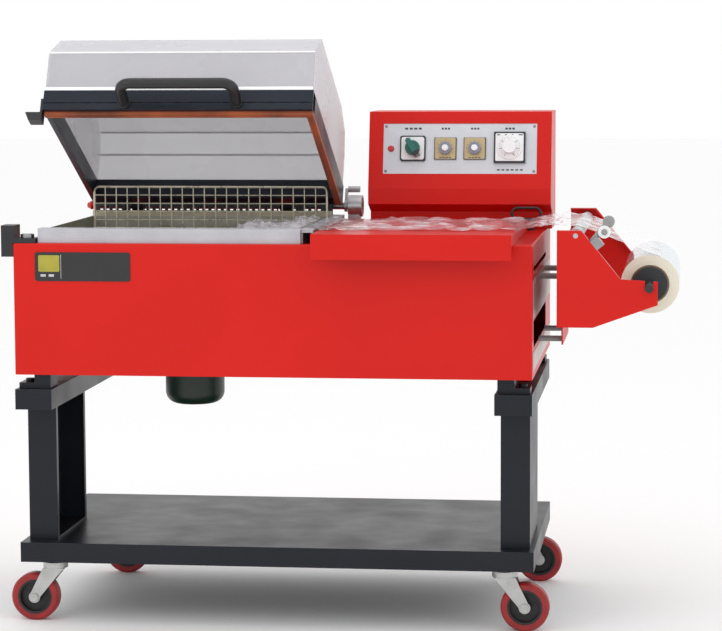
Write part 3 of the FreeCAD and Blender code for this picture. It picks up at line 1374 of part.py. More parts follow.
def film_roller():
    """Guide roller between the side plates' flanges, turning on its own journals."""
    inset = S.cradle_flange + S.roller_gap
    length = S.cradle_back + S.cradle_sheet - S.cradle_front - 2 * inset
    body = design("roller_tube")
    revolve(body, [
        (0, -inset), (S.roller_journal, -inset), (S.roller_journal, 0), (S.roller_radius, 0),
        (S.roller_radius, length), (S.roller_journal, length), (S.roller_journal, length + inset),
        (0, length + inset),
    ])
    frame = ((X(ROLLER_X), Y(S.cradle_front + inset), ROLLER_Z), SIDEWAYS, -90)
    node("film_roller", frame, body)


def film_spool():
    """Shaft with two chucks, and the wound roll on its paper core, all turning together."""
    x = ROLL_X
    z = ROLL_Z
    start = S.cradle_front - S.shaft_end
    length = S.cradle_back + S.cradle_sheet - S.cradle_front + 2 * S.shaft_end
    bar = rod("spool_bar", (x, start, z), S.film_shaft_radius, length, "y")
    shapes = [bar]
    ends = (S.roll_front - S.chuck_length / 2, S.roll_front + S.roll_length - S.chuck_length / 2)
    for index, y in enumerate(ends):
        chuck = rod(f"chuck_{index}", (x, y, z), S.chuck_radius, S.chuck_length, "y")
        shapes.append(chuck)
    node("film_shaft", MACHINE, fuse("spool", *shapes))
    core = design("roll_core")
    inner = S.core_radius - S.core_wall
    pad(core, "XZ", ((x, z), S.core_radius), S.roll_length, S.roll_front, holes=[((x, z), inner)])
    film = design("roll_film")
    wound = S.roll_length - 2 * S.core_proud
    pad(film, "XZ", ((x, z), S.roll_radius), wound, S.roll_front + S.core_proud, holes=[((x, z), S.core_radius)])
    node("film_roll", MACHINE, core, film)


def inverting_rod():
    """Bent rod loop that turns the film over, standing on two posts behind the tray."""
    bend = S.rod_rise / 2
    upper = DECK + S.rod_upper
    lower = upper - S.rod_rise
    left = ROD_LEFT + bend
    right = ROD_LEFT + S.rod_length - bend
    y = S.rod_front
    upright = FreeCAD.Rotation(SIDEWAYS, 90)
    shapes = []
    for name, x, turn in (("ne", right, 0), ("nw", left, 90), ("sw", left, 180), ("se", right, -90)):
        quadrant = upright * FreeCAD.Rotation(UPRIGHT, turn)
        shapes.append(elbow(f"rod_bend_{name}", (x, y, upper - bend), bend, S.rod_radius, quadrant))
    for name, z in (("upper", upper), ("lower", lower)):
        shapes.append(rod(f"rod_leg_{name}", (left, y, z), S.rod_radius, right - left, "x"))
    for name, x in (("left", left + S.rod_post), ("right", right - S.rod_post)):
        shapes.append(rod(f"rod_post_{name}", (x, y, DECK), S.rod_radius, lower - DECK))
        shapes.append(rod(f"rod_foot_{name}", (x, y, DECK), S.rod_foot_radius, S.rod_foot))
    node("inverting_rod", MACHINE, fuse("rod_bent", *shapes))


SLOPE = slope_angle(S.cradle_top + S.cradle_slope_drop, S.cradle_slope_run - S.cradle_top_length)


def slope_frame():
    """Frame on the front plate's slope: X runs down the slope and Z stands off it."""
    x = CRADLE_LEFT + S.cradle_top_length + S.pin_slide * cosine(SLOPE)
    z = CRADLE_TOP - S.pin_slide * sine(SLOPE)
    return (X(x), Y(S.cradle_front), z), FreeCAD.Vector(0, 1, 0), SLOPE


def needle_block():
    """Clamp block on the slope with the arm, the wheel's axle and the locking knob behind it."""
    body = design("needle_clamp")
    wide = S.pin_block_width
    pad(body, "XZ", rectangle(-wide, 0, wide, S.pin_block_height), S.pin_block_depth)
    arm_front = S.pin_block_depth - S.pin_arm_sheet
    half = S.pin_arm_width / 2
    knob = (-S.pin_knob_back, S.pin_knob_out)
    pad(body, "XZ", [
        (-S.pin_wheel_back - half, 0), (half - S.pin_wheel_back, 0),
        (half - S.pin_knob_back, S.pin_knob_out), (-half - S.pin_knob_back, S.pin_knob_out),
    ], S.pin_arm_sheet, arm_front)
    wheel = (-S.pin_wheel_back, S.pin_wheel_out)
    length = S.pin_wheel_width + 2 * S.roller_gap
    pad(body, "XZ", (wheel, S.pin_axle), length, arm_front - length)
    pad(body, "XZ", (wheel, S.pin_axle + S.pin_axle_head), S.pin_axle_head, arm_front - length - S.pin_axle_head)
    grip = design("needle_knob")
    pad(grip, "XZ", (knob, S.pin_knob_radius), S.pin_knob_width, S.pin_block_depth)
    node("needle_block", slope_frame(), body, grip)


def needle_wheel():
    """White wheel with a ring of pins that pierces the film's edge."""
    body = design("pin_wheel")
    start = S.pin_block_depth - S.pin_arm_sheet - S.roller_gap - S.pin_wheel_width
    bore = S.pin_axle + S.fit
    pad(body, "XZ", ((0, 0), S.pin_wheel_radius), S.pin_wheel_width, 0, holes=[((0, 0), bore)])
    half = S.pin_length / 2
    root = S.pin_wheel_radius - S.pin_root
    pin = pad(body, "XZ", [(-half, root), (half, root), (0, S.pin_wheel_radius + S.pin_length)],
              S.pin_length, (S.pin_wheel_width - S.pin_length) / 2)
    ring = body.newObject("PartDesign::PolarPattern", "pin_ring")
    ring.Originals = [pin]
    ring.Axis = (pin.Profile[0], ["N_Axis"])
    ring.Angle = 360
    ring.Occurrences = int(S.pin_count.value)
    body.Tip = ring
    corner, axis, angle = slope_frame()
    along = -S.pin_wheel_back
    x = corner[0] + along * cosine(SLOPE) + S.pin_wheel_out * sine(SLOPE)
    z = corner[2] - along * sine(SLOPE) + S.pin_wheel_out * cosine(SLOPE)
    node("needle_wheel", ((x, corner[1] + start, z), axis, angle), body)


def film_path():
    """Points under the film, from its end in the chamber to where it leaves the roll."""
    clear = S.film_clear
    lift = S.roller_radius + clear
    away = S.roll_radius + clear
    across = ROLL_X - ROLLER_X
    drop = ROLLER_Z - ROLL_Z
    angle = arc_cosine((lift - away) / distance(across, drop)) - slope_angle(drop, across)
    half_way = (angle + 90) / 2
    grid = GRID_Z + S.frame_wire_radius + clear
    bed = BED_TOP + clear
    tray = TRAY_TOP + clear
    return [
        (S.film_far, grid), (TUB_RIGHT - S.film_slack, grid), (TUB_RIGHT - S.tub_wall - PAST, bed),
        (BED_RIGHT + S.right_bed_width, bed), (TRAY_LEFT, tray), (TRAY_LEFT + S.tray_length, tray),
        (ROLLER_X, ROLLER_Z + lift),
        (ROLLER_X + lift * cosine(half_way), ROLLER_Z + lift * sine(half_way)),
        (ROLLER_X + lift * cosine(angle), ROLLER_Z + lift * sine(angle)),
        (ROLL_X + away * cosine(angle), ROLL_Z + away * sine(angle)),
    ]


def film_web():
    """Film from the roll over the guide roller and the tray into the chamber."""
    under = film_path()
    over = [(x, z + S.film_sheet) for x, z in reversed(under)]
    near = S.roll_front
    far = S.roll_front + S.roll_length
    sheet_body = design("film_profile")
    pad(sheet_body, "XZ", under + over, far - S.film_front, S.film_front)
    end = ROLL_X + S.roll_radius
    tray_right = TRAY_LEFT + S.tray_length
    inner = S.film_front + S.film_inset
    plan = design("film_plan")
    pad(plan, "XY", [
        (S.film_far - PAST, inner), (BED_RIGHT, inner), (TRAY_LEFT, S.film_front), (tray_right, S.film_front),
        (ROLLER_X, near), (end, near), (end, far), (ROLLER_X, far), (tray_right, S.film_back),
        (S.film_far - PAST, S.film_back),
    ], S.box_height, ROLL_Z)
    item = doc.addObject("Part::Common", "film_common")
    item.Base = sheet_body
    item.Tool = plan
    node("film_web", MACHINE, item)


stand_shelf()
stand_legs()
stand_beams()
beam_clamps()
casters()
body_shell()
chamber_tub()
product_grid()
mesh_fence()
chamber_back_panel()
hinge_rail()
nameplate()
seal_bed()
seal_pad()
magnet_lock()
blower_motor()
fan_rotor()
heater_tubes()
sealing_transformer()
hinge_brackets()
spring_drum()
hinge_shaft()
hinge_knob()
cover_front_bar()
cover_frame()
cover_dome()
cover_handle()
knife_strip()
armature_arm()
stop_arm()
control_box()
control_panel()
control_bezels()
pilot_lamp()
knobs()
loading_tray()
cradle_plates()
cradle_bars()
film_roller()
film_spool()
inverting_rod()
needle_block()
needle_wheel()
film_web()

doc.recompute()
for item in doc.Objects:
    if "Invalid" in item.State or "Error" in item.State:
        raise RuntimeError(f"{item.Label} failed: {item.State}")
for item in nodes:
    if item.Shape.isNull() or not item.Shape.isValid():
        raise RuntimeError(f"{item.Label} has no valid shape")
os.makedirs("parts", exist_ok=True)
for item in nodes:
    item.Shape.exportStep(f"parts/{item.Label}.step")
print(len(nodes), "sub-parts written")
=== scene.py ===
# %% [markdown]
# # Dressing an L bar sealer
# The machine seals film round a product and shrinks it with hot air. Its solids come packed from
# the CAD step, already in place and in metres. This lesson adds the camera, the light, the finishes
# and the small parts that a solid model leaves out. Everything is placed from the imported model, so
# the first cell loads it and keeps its outer box, round which the lamps are set.

# %% The imported model
import json
import math

import bmesh
import bpy
from mathutils import Matrix, Vector, noise


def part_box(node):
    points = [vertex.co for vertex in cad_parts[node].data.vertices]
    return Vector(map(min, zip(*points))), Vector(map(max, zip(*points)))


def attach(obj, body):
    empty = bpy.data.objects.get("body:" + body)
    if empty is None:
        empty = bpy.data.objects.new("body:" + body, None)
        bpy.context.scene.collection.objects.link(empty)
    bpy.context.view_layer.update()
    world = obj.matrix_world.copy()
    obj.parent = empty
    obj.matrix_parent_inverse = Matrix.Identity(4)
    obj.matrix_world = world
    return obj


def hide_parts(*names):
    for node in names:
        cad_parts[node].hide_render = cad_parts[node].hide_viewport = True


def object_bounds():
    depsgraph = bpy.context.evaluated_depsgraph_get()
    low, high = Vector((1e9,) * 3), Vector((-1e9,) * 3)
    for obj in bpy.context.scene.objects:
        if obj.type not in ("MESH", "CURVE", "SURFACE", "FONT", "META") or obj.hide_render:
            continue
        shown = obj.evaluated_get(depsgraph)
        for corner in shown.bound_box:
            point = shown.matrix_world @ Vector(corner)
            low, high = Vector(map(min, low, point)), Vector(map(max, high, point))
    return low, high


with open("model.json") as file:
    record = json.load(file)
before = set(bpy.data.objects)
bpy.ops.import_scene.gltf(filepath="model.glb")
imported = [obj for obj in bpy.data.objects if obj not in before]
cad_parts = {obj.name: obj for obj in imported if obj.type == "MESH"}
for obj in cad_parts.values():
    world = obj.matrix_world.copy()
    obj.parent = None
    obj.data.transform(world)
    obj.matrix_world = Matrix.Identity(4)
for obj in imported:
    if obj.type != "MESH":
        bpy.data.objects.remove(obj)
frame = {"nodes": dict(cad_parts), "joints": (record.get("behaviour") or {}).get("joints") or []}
cad_low, cad_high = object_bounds()
nodes = frame["nodes"]
joints = {joint["name"]: joint for joint in frame["joints"]}
MM = 0.001
body_low, body_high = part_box("body_shell")

# %% [markdown]
# Measures on this machine are easiest from one corner of the cabinet: its left end, its front face
# and the floor. `at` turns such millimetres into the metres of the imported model.

# %% Machine coordinates


def at(x, y, z):
    return Vector((body_low.x + x * MM, body_low.y + y * MM, z * MM))


print("front left corner of the cabinet", tuple(round(value, 4) for value in at(0, 0, 0)))

# %% [markdown]
# ## Camera
# A long lens from a little above eye level keeps the cabinet's edges nearly parallel. The turn, the
# tilt and the roll give three directions, and these are the columns of the camera's matrix. That is
# plainer than Euler angles, where the order of the turns matters.

# %% Camera
CAMERA_YAW = math.radians(7.314)
CAMERA_PITCH = math.radians(5.794)
CAMERA_ROLL = math.radians(-0.253)
ahead = Vector((-math.sin(CAMERA_YAW) * math.cos(CAMERA_PITCH),
                math.cos(CAMERA_YAW) * math.cos(CAMERA_PITCH), -math.sin(CAMERA_PITCH)))
level = Vector((math.cos(CAMERA_YAW), math.sin(CAMERA_YAW), 0))
above = level.cross(ahead)
camera_right = math.cos(CAMERA_ROLL) * level + math.sin(CAMERA_ROLL) * above
camera_up = math.cos(CAMERA_ROLL) * above - math.sin(CAMERA_ROLL) * level
camera_data = bpy.data.cameras.new("camera")
camera_data.sensor_width = 36
camera_data.lens = 129.0
camera_data.clip_end = 100
camera = bpy.data.objects.new("camera", camera_data)
bpy.context.collection.objects.link(camera)
turn = Matrix((camera_right, camera_up, -ahead)).transposed().to_4x4()
camera.matrix_world = Matrix.Translation(at(1374.3, -5131.9, 1177.8)) @ turn
bpy.context.scene.camera = camera
print("camera at", tuple(round(value, 3) for value in camera.location))

# %% [markdown]
# ## Studio
# A pale floor runs far back, and the world is a soft white. Three large area lamps do the work of
# softboxes: a key from the front left, a weaker fill from the right and one overhead, which lifts
# the sloping faces. Large lamps give soft shadows, and small ones would cut hard lines in the paint.

# %% Floor and world
floor_mesh = bpy.data.meshes.new("studio_floor")
floor_build = bmesh.new()
bmesh.ops.create_grid(floor_build, x_segments=1, y_segments=1, size=30)
floor_build.to_mesh(floor_mesh)
floor_build.free()
studio_floor = bpy.data.objects.new("studio_floor", floor_mesh)
bpy.context.collection.objects.link(studio_floor)
floor_paint = bpy.data.materials.new("floor_paint")
floor_paint.use_nodes = True
floor_shader = floor_paint.node_tree.nodes["Principled BSDF"]
floor_shader.inputs["Base Color"].default_value = (0.97, 0.97, 0.97, 1)
floor_shader.inputs["Roughness"].default_value = 0.8
floor_mesh.materials.append(floor_paint)
world = bpy.data.worlds.new("studio_world")
world.use_nodes = True
world.node_tree.nodes["Background"].inputs["Color"].default_value = (1, 1, 1, 1)
world.node_tree.nodes["Background"].inputs["Strength"].default_value = 1.0
bpy.context.scene.world = world
bpy.context.scene.view_settings.view_transform = "Standard"
print("floor and world set")

# %% Softboxes


def softbox(name, place, target, size, power):
    data = bpy.data.lights.new(name, "AREA")
    data.shape = "RECTANGLE"
    data.size, data.size_y = size
    data.energy = power
    lamp = bpy.data.objects.new(name, data)
    bpy.context.collection.objects.link(lamp)
    lamp.location = place
    lamp.rotation_mode = "QUATERNION"
    lamp.rotation_quaternion = (target - place).to_track_quat("-Z", "Y")
    return lamp


middle = (cad_low + cad_high) / 2
softbox("key_light", middle + Vector((-1.8, -2.6, 1.6)), middle, (1.8, 1.4), 9)
softbox("fill_light", middle + Vector((2.6, -1.8, 0.9)), middle, (1.6, 1.6), 4)
softbox("top_light", middle + Vector((0.1, -0.4, 2.4)), middle, (2.4, 1.8), 8)
print("three softboxes round", tuple(round(value, 2) for value in middle))

# %% [markdown]
# ## Finishes
# No real finish is one flat colour. `finish_of` gives each one a broad mottling in its colour and
# its gloss, a fine grain in its bump, and a worn, slightly lighter line along hard edges. The mask for
# the wear compares the true normal with the one from a Bevel node, and the two differ only near an
# edge. The same Bevel node rounds the edges for the light, so the sharp solids catch a highlight.
# All patterns read Object coordinates, which are the model's own metres.

# %% Colour helper


def tint(red, green, blue):
    """A colour given from 0 to 255, as the linear values that a shader wants."""
    scaled = [value / 255 for value in (red, green, blue)]
    return tuple(v / 12.92 if v <= 0.04045 else ((v + 0.055) / 1.055) ** 2.4 for v in scaled) + (1,)


def scaled_tint(colour, factor):
    return tuple(min(1, value * factor) for value in colour[:3]) + (1,)


print("signal red is", tuple(round(value, 3) for value in tint(216, 44, 34)))

# %% Node helpers


def add_node(tree, kind, **values):
    node = tree.nodes.new(kind)
    for name, value in values.items():
        if name in node.inputs:
            node.inputs[name].default_value = value
        else:
            setattr(node, name, value)
    return node


def coordinates(tree, scale=(1, 1, 1), shift=(0, 0, 0)):
    """Object coordinates, moved and then stretched."""
    source = add_node(tree, "ShaderNodeTexCoord")
    mapping = add_node(tree, "ShaderNodeMapping")
    mapping.inputs["Scale"].default_value = scale
    mapping.inputs["Location"].default_value = [-s * m for s, m in zip(shift, scale)]
    tree.links.new(source.outputs["Object"], mapping.inputs["Vector"])
    return mapping.outputs["Vector"]


def cloud(tree, vector, detail=2.0, scale=1.0):
    texture = add_node(tree, "ShaderNodeTexNoise", Scale=scale, Detail=detail)
    tree.links.new(vector, texture.inputs["Vector"])
    return texture.outputs["Fac"]


def between(tree, value, low, high, result_low, result_high):
    """Maps a value from one span to another and clamps it."""
    ranger = add_node(tree, "ShaderNodeMapRange")
    for name, number in (("From Min", low), ("From Max", high), ("To Min", result_low), ("To Max", result_high)):
        ranger.inputs[name].default_value = number
    tree.links.new(value, ranger.inputs["Value"])
    return ranger.outputs["Result"]


def blend_colours(tree, share, first, second):
    """Mixes two colours; each may be four numbers or the output of another node."""
    mixer = add_node(tree, "ShaderNodeMix", data_type="RGBA")
    tree.links.new(share, mixer.inputs[0])
    for socket, colour in ((mixer.inputs[6], first), (mixer.inputs[7], second)):
        if isinstance(colour, bpy.types.NodeSocket):
            tree.links.new(colour, socket)
        else:
            socket.default_value = colour
    return mixer.outputs[2]


print("node helpers ready")

# %% The finish


def edge_mask(tree, radius, threshold=0.02):
    """One along hard edges and nought elsewhere, with the rounded normal that gave it."""
    rounded = add_node(tree, "ShaderNodeBevel", samples=4, Radius=radius)
    geometry = add_node(tree, "ShaderNodeNewGeometry")
    dot = add_node(tree, "ShaderNodeVectorMath", operation="DOT_PRODUCT")
    tree.links.new(rounded.outputs["Normal"], dot.inputs[0])
    tree.links.new(geometry.outputs["Normal"], dot.inputs[1])
    return between(tree, dot.outputs["Value"], 1 - threshold, 0.75, 0, 1), rounded.outputs["Normal"]


def finish_of(name, colour, rough, metallic=0.0, mottle=0.07, patch=7.0, gloss_change=0.06,
              grain=(700, 700, 700), dent=0.15, depth=0.0002, wear=0.0, worn=None, edge=0.0012,
              coat=0.0, shine=0.5, second=None):
    material = bpy.data.materials.new(name)
    material.use_nodes = True
    tree = material.node_tree
    shader = tree.nodes["Principled BSDF"]
    shader.inputs["Metallic"].default_value = metallic
    shader.inputs["Coat Weight"].default_value = coat
    shader.inputs["Specular IOR Level"].default_value = shine
    broad = cloud(tree, coordinates(tree, (patch,) * 3), detail=4)
    share = between(tree, broad, 0.3, 0.7, 0, 1)
    shade = blend_colours(tree, share, scaled_tint(colour, 1 - mottle), second or scaled_tint(colour, 1 + mottle))
    tree.links.new(between(tree, broad, 0.3, 0.7, rough - gloss_change, rough + gloss_change), shader.inputs["Roughness"])
    bump = add_node(tree, "ShaderNodeBump", Strength=dent, Distance=depth)
    tree.links.new(cloud(tree, coordinates(tree, grain)), bump.inputs["Height"])
    mask, rounded = edge_mask(tree, edge)
    tree.links.new(rounded, bump.inputs["Normal"])
    if wear:
        scratch = cloud(tree, coordinates(tree, (60, 60, 60)), detail=3)
        chance = between(tree, scratch, 0.42, 0.62, 0, wear)
        both = add_node(tree, "ShaderNodeMath", operation="MULTIPLY")
        tree.links.new(mask, both.inputs[0])
        tree.links.new(chance, both.inputs[1])
        shade = blend_colours(tree, both.outputs["Value"], shade, worn or scaled_tint(colour, 1.8))
    tree.links.new(shade, shader.inputs["Base Color"])
    tree.links.new(bump.outputs["Normal"], shader.inputs["Normal"])
    return material


def dress(material, *names):
    for name in names:
        for slot in nodes[name].material_slots:
            slot.material = material


RED = tint(208, 26, 18)
red_enamel = finish_of("red_enamel", RED, 0.34, mottle=0.04, patch=3.5, grain=(420, 420, 420), dent=0.10,
                       wear=0.25, worn=tint(232, 96, 74), shine=0.22)
dress(red_enamel, "body_shell", "control_box", "loading_tray", "cradle_plate_front", "cradle_plate_back")
print("red enamel on the sheet metal")

# %% [markdown]
# The stand is powder coated in a blue-black. Powder coat has a coarser orange peel and less gloss
# than enamel, and handling has polished it here and there. The shelf is lighter, because it lies
# flat under the lamps.

# %% Stand, dark metal and zinc
stand_coat = finish_of("stand_coat", tint(20, 25, 33), 0.36, shine=0.3, mottle=0.18, patch=9, grain=(520, 520, 520),
                       dent=0.25, wear=0.5, worn=tint(120, 122, 128))
dress(stand_coat, "stand_shelf", "stand_leg_left", "stand_leg_right", "stand_beam_left",
      "stand_beam_right", "beam_clamps")
bar_anodised = finish_of("bar_anodised", tint(32, 37, 47), 0.36, metallic=0.2, shine=0.3, mottle=0.12, patch=8,
                         grain=(30, 900, 900), dent=0.12, wear=0.3, worn=tint(150, 152, 158))
dress(bar_anodised, "cover_front_bar", "cover_frame")
black_enamel = finish_of("black_enamel", tint(30, 31, 34), 0.38, mottle=0.15, patch=20, dent=0.2,
                         wear=0.5, worn=tint(110, 108, 104))
dress(black_enamel, "hinge_rail", "magnet_block", "hinge_brackets", "armature_arm", "inverting_rod")
zinc_plate = finish_of("zinc_plate", tint(186, 188, 186), 0.32, metallic=0.9, mottle=0.14, patch=28,
                       gloss_change=0.12, grain=(260, 260, 260), dent=0.2, wear=0.4, worn=tint(225, 225, 222))
dress(zinc_plate, "caster_stems", "caster_fork_front_left", "caster_fork_front_right",
      "caster_fork_rear_left", "caster_fork_rear_right")
print("stand, bars and casters finished")

# %% [markdown]
# Each caster wheel is one solid with two finishes: a red polyurethane tread bonded to a black hub. The
# finish measures the distance from the wheel's own axle and changes colour at the bond line, so one
# material per wheel is enough and the solid stays whole.

# %% Caster wheels
TREAD_INNER = 0.036


def wheel_finish(name, axle):
    material = finish_of(name, tint(150, 28, 30), 0.45, mottle=0.2, patch=40, grain=(500, 500, 500), dent=0.3)
    tree = material.node_tree
    shader = tree.nodes["Principled BSDF"]
    tread = shader.inputs["Base Color"].links[0].from_socket
    flat = coordinates(tree, (1, 0, 1), axle)
    length = add_node(tree, "ShaderNodeVectorMath", operation="LENGTH")
    tree.links.new(flat, length.inputs[0])
    share = between(tree, length.outputs["Value"], TREAD_INNER, TREAD_INNER + 0.0004, 0, 1)
    tree.links.new(blend_colours(tree, share, tint(26, 24, 26), tread), shader.inputs["Base Color"])
    return material


for corner in ("front_left", "front_right", "rear_left", "rear_right"):
    axle = Vector(joints[f"caster_spin_{corner}"]["pos_m"])
    dress(wheel_finish(f"wheel_{corner}", axle), f"caster_wheel_{corner}")
print("four wheels finished")

# %% [markdown]
# ## Sheet steel, wire and aluminium
# Brushed sheet has long fine lines in one direction. Stretching the grain's coordinates does that: a
# low scale along the brushing and a high one across it. The same trick makes drawn wire and extruded
# aluminium.

# %% Metals
stainless = finish_of("stainless", tint(168, 168, 158), 0.34, metallic=0.85, mottle=0.16, patch=12,
                      grain=(8, 8, 1500), dent=0.3, depth=0.0001)
dress(stainless, "chamber_tub")
plated_wire = finish_of("plated_wire", tint(206, 200, 180), 0.30, metallic=0.55, mottle=0.15, patch=60,
                        grain=(900, 900, 900), dent=0.15)
dress(plated_wire, "product_grid", "mesh_fence")
heat_shield = finish_of("heat_shield", tint(196, 184, 160), 0.5, mottle=0.14, patch=14, grain=(300, 300, 900), dent=0.2)
dress(heat_shield, "chamber_back_panel")
aluminium = finish_of("aluminium", tint(188, 190, 192), 0.34, metallic=0.85, mottle=0.08, patch=16,
                      grain=(20, 1200, 1200), dent=0.25)
dress(aluminium, "seal_bed", "fan_rotor", "spring_drum", "stop_arm", "film_roller")
machined = finish_of("machined", tint(160, 160, 160), 0.28, metallic=0.95, mottle=0.1, patch=30,
                     grain=(900, 60, 900), dent=0.2)
dress(machined, "electromagnet", "heater_tubes", "hinge_shaft", "needle_block")
motor_enamel = finish_of("motor_enamel", tint(22, 44, 34), 0.4, mottle=0.2, patch=18, dent=0.35, grain=(380, 380, 380))
dress(motor_enamel, "blower_motor")
winding = finish_of("winding", tint(112, 70, 44), 0.5, mottle=0.2, patch=50, grain=(1200, 1200, 60), dent=0.5)
dress(winding, "sealing_transformer")
print("metals finished")

# %% [markdown]
# The cross plate and its studs are one solid: plain steel studs up to the plate, and red paint from
# there on. Again one coordinate decides, this time the distance along the machine.

# %% Cross plate and studs
cradle_low, cradle_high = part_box("cradle_plate_front")
stud_finish = finish_of("stud_finish", RED, 0.35, mottle=0.05, patch=5, shine=0.22)
stud_tree = stud_finish.node_tree
stud_shader = stud_tree.nodes["Principled BSDF"]
along = add_node(stud_tree, "ShaderNodeSeparateXYZ")
stud_tree.links.new(coordinates(stud_tree), along.inputs[0])
past_plate = between(stud_tree, along.outputs["X"], cradle_low.x - 0.0006, cradle_low.x - 0.0002, 0, 1)
painted = stud_shader.inputs["Base Color"].links[0].from_socket
stud_tree.links.new(blend_colours(stud_tree, past_plate, tint(150, 150, 150), painted), stud_shader.inputs["Base Color"])
dress(stud_finish, "cradle_bars")
print("cross plate painted from x =", round(cradle_low.x, 4))

# %% [markdown]
# ## Sealing cloth and knife strip
# The pad under the knife is silicone with a pale glass cloth over it. Two sets of fine ribs at right
# angles make the weave. The knife strip is a brown laminate, redder where the heat has stained it.

# %% Cloth and laminate


def weave_finish(name, colour, rough, pitch, dent):
    material = finish_of(name, colour, rough, mottle=0.08, patch=22, dent=0.2)
    tree = material.node_tree
    shader = tree.nodes["Principled BSDF"]
    bump = shader.inputs["Normal"].links[0].from_node
    threads = []
    for scale in ((pitch, 0, 0), (0, pitch, pitch)):
        wave = add_node(tree, "ShaderNodeTexWave", Scale=1.0, Distortion=0.4)
        wave.bands_direction = "DIAGONAL"
        tree.links.new(coordinates(tree, scale), wave.inputs["Vector"])
        threads.append(wave.outputs["Fac"])
    lattice = add_node(tree, "ShaderNodeMath", operation="ADD")
    tree.links.new(threads[0], lattice.inputs[0])
    tree.links.new(threads[1], lattice.inputs[1])
    weave = add_node(tree, "ShaderNodeBump", Strength=dent, Distance=0.0003)
    tree.links.new(lattice.outputs["Value"], weave.inputs["Height"])
    tree.links.new(bump.outputs["Normal"], weave.inputs["Normal"])
    tree.links.new(weave.outputs["Normal"], shader.inputs["Normal"])
    return material


sealing_cloth = weave_finish("sealing_cloth", tint(184, 185, 191), 0.5, 160, 0.5)
dress(sealing_cloth, "seal_pad")
laminate = finish_of("laminate", tint(120, 62, 38), 0.42, mottle=0.2, patch=9, grain=(90, 90, 900), dent=0.3,
                     second=tint(190, 96, 52))
dress(laminate, "knife_strip")
red_plastic = finish_of("red_plastic", tint(196, 30, 28), 0.28, mottle=0.06, patch=60, dent=0.1, coat=0.3)
dress(red_plastic, "hinge_knob", "pilot_lamp")
print("cloth, laminate and red plastic finished")

# %% [markdown]
# ## Shaping helpers
# The new parts start from a few bmesh shapes. `block` is a cube with its upright edges rounded and
# then all its edges softened. `turned` spins a half outline round an axis, as a lathe does. `bent_tube`
# pushes a ring along runs and round bends. Each works in millimetres about its own zero, and a matrix
# puts it in place.

# %% Making a piece


def make(name, build, material, body, place=Matrix(), smooth=35, unit=MM):
    """Turns a bmesh in millimetres into an object that rides on a body."""
    bmesh.ops.transform(build, matrix=place @ Matrix.Diagonal((unit, unit, unit, 1)), verts=build.verts)
    mesh = bpy.data.meshes.new(name)
    build.to_mesh(mesh)
    build.free()
    mesh.shade_smooth()
    mesh.set_sharp_from_angle(angle=math.radians(smooth))
    made = bpy.data.objects.new(name, mesh)
    bpy.context.collection.objects.link(made)
    made.data.materials.append(material)
    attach(made, body)
    print(f"{name}: {len(mesh.polygons)} faces")
    return made


def soften(build, edges, offset, segments=2):
    bmesh.ops.bevel(build, geom=edges, offset=offset, offset_type="OFFSET", segments=segments, profile=0.5,
                    affect="EDGES", clamp_overlap=True, material=-1)


def block(extent, corner=0.0, edge=0.4, centre=(0, 0, 0), upright=2, into=None):
    """A box with its edges along one axis rounded by corner and the others softened by edge."""
    build = bmesh.new()
    bmesh.ops.create_cube(build, size=1)
    bmesh.ops.scale(build, vec=extent, verts=build.verts)
    if corner:
        chosen = [e for e in build.edges if abs((e.verts[0].co - e.verts[1].co).normalized()[upright]) > 0.9]
        soften(build, chosen, corner, 6)
    if edge:
        sharp = [e for e in build.edges if e.calc_face_angle(0) > 0.6]
        soften(build, sharp, edge)
    bmesh.ops.translate(build, vec=centre, verts=build.verts)
    return poured(build, into)


def poured(build, into):
    """Adds one bmesh to another, so that several shapes make one piece."""
    if into is None:
        return build
    scratch = bpy.data.meshes.new("scratch")
    build.to_mesh(scratch)
    build.free()
    into.from_mesh(scratch)
    bpy.data.meshes.remove(scratch)
    return into


def turned(outline, steps=48, place=Matrix(), into=None):
    """Spins radius and height points about the Z axis."""
    build = bmesh.new()
    points = [build.verts.new((radius, 0, height)) for radius, height in outline]
    edges = [build.edges.new(pair) for pair in zip(points, points[1:])]
    bmesh.ops.spin(build, geom=points + edges, cent=(0, 0, 0), axis=(0, 0, 1), angle=math.tau, steps=steps,
                   use_merge=True)
    bmesh.ops.remove_doubles(build, verts=build.verts, dist=1e-4)
    bmesh.ops.recalc_face_normals(build, faces=build.faces)
    bmesh.ops.transform(build, matrix=place, verts=build.verts)
    return poured(build, into)


def flat_shape(points, height, edge=0.3, into=None):
    """A plate of the given outline, with height along Z."""
    build = bmesh.new()
    face = build.faces.new([build.verts.new((x, y, 0)) for x, y in points])
    grown = bmesh.ops.extrude_face_region(build, geom=[face])
    raised = [item for item in grown["geom"] if isinstance(item, bmesh.types.BMVert)]
    bmesh.ops.translate(build, vec=(0, 0, height), verts=raised)
    bmesh.ops.recalc_face_normals(build, faces=build.faces)
    if edge:
        soften(build, list(build.edges), edge)
    return poured(build, into)


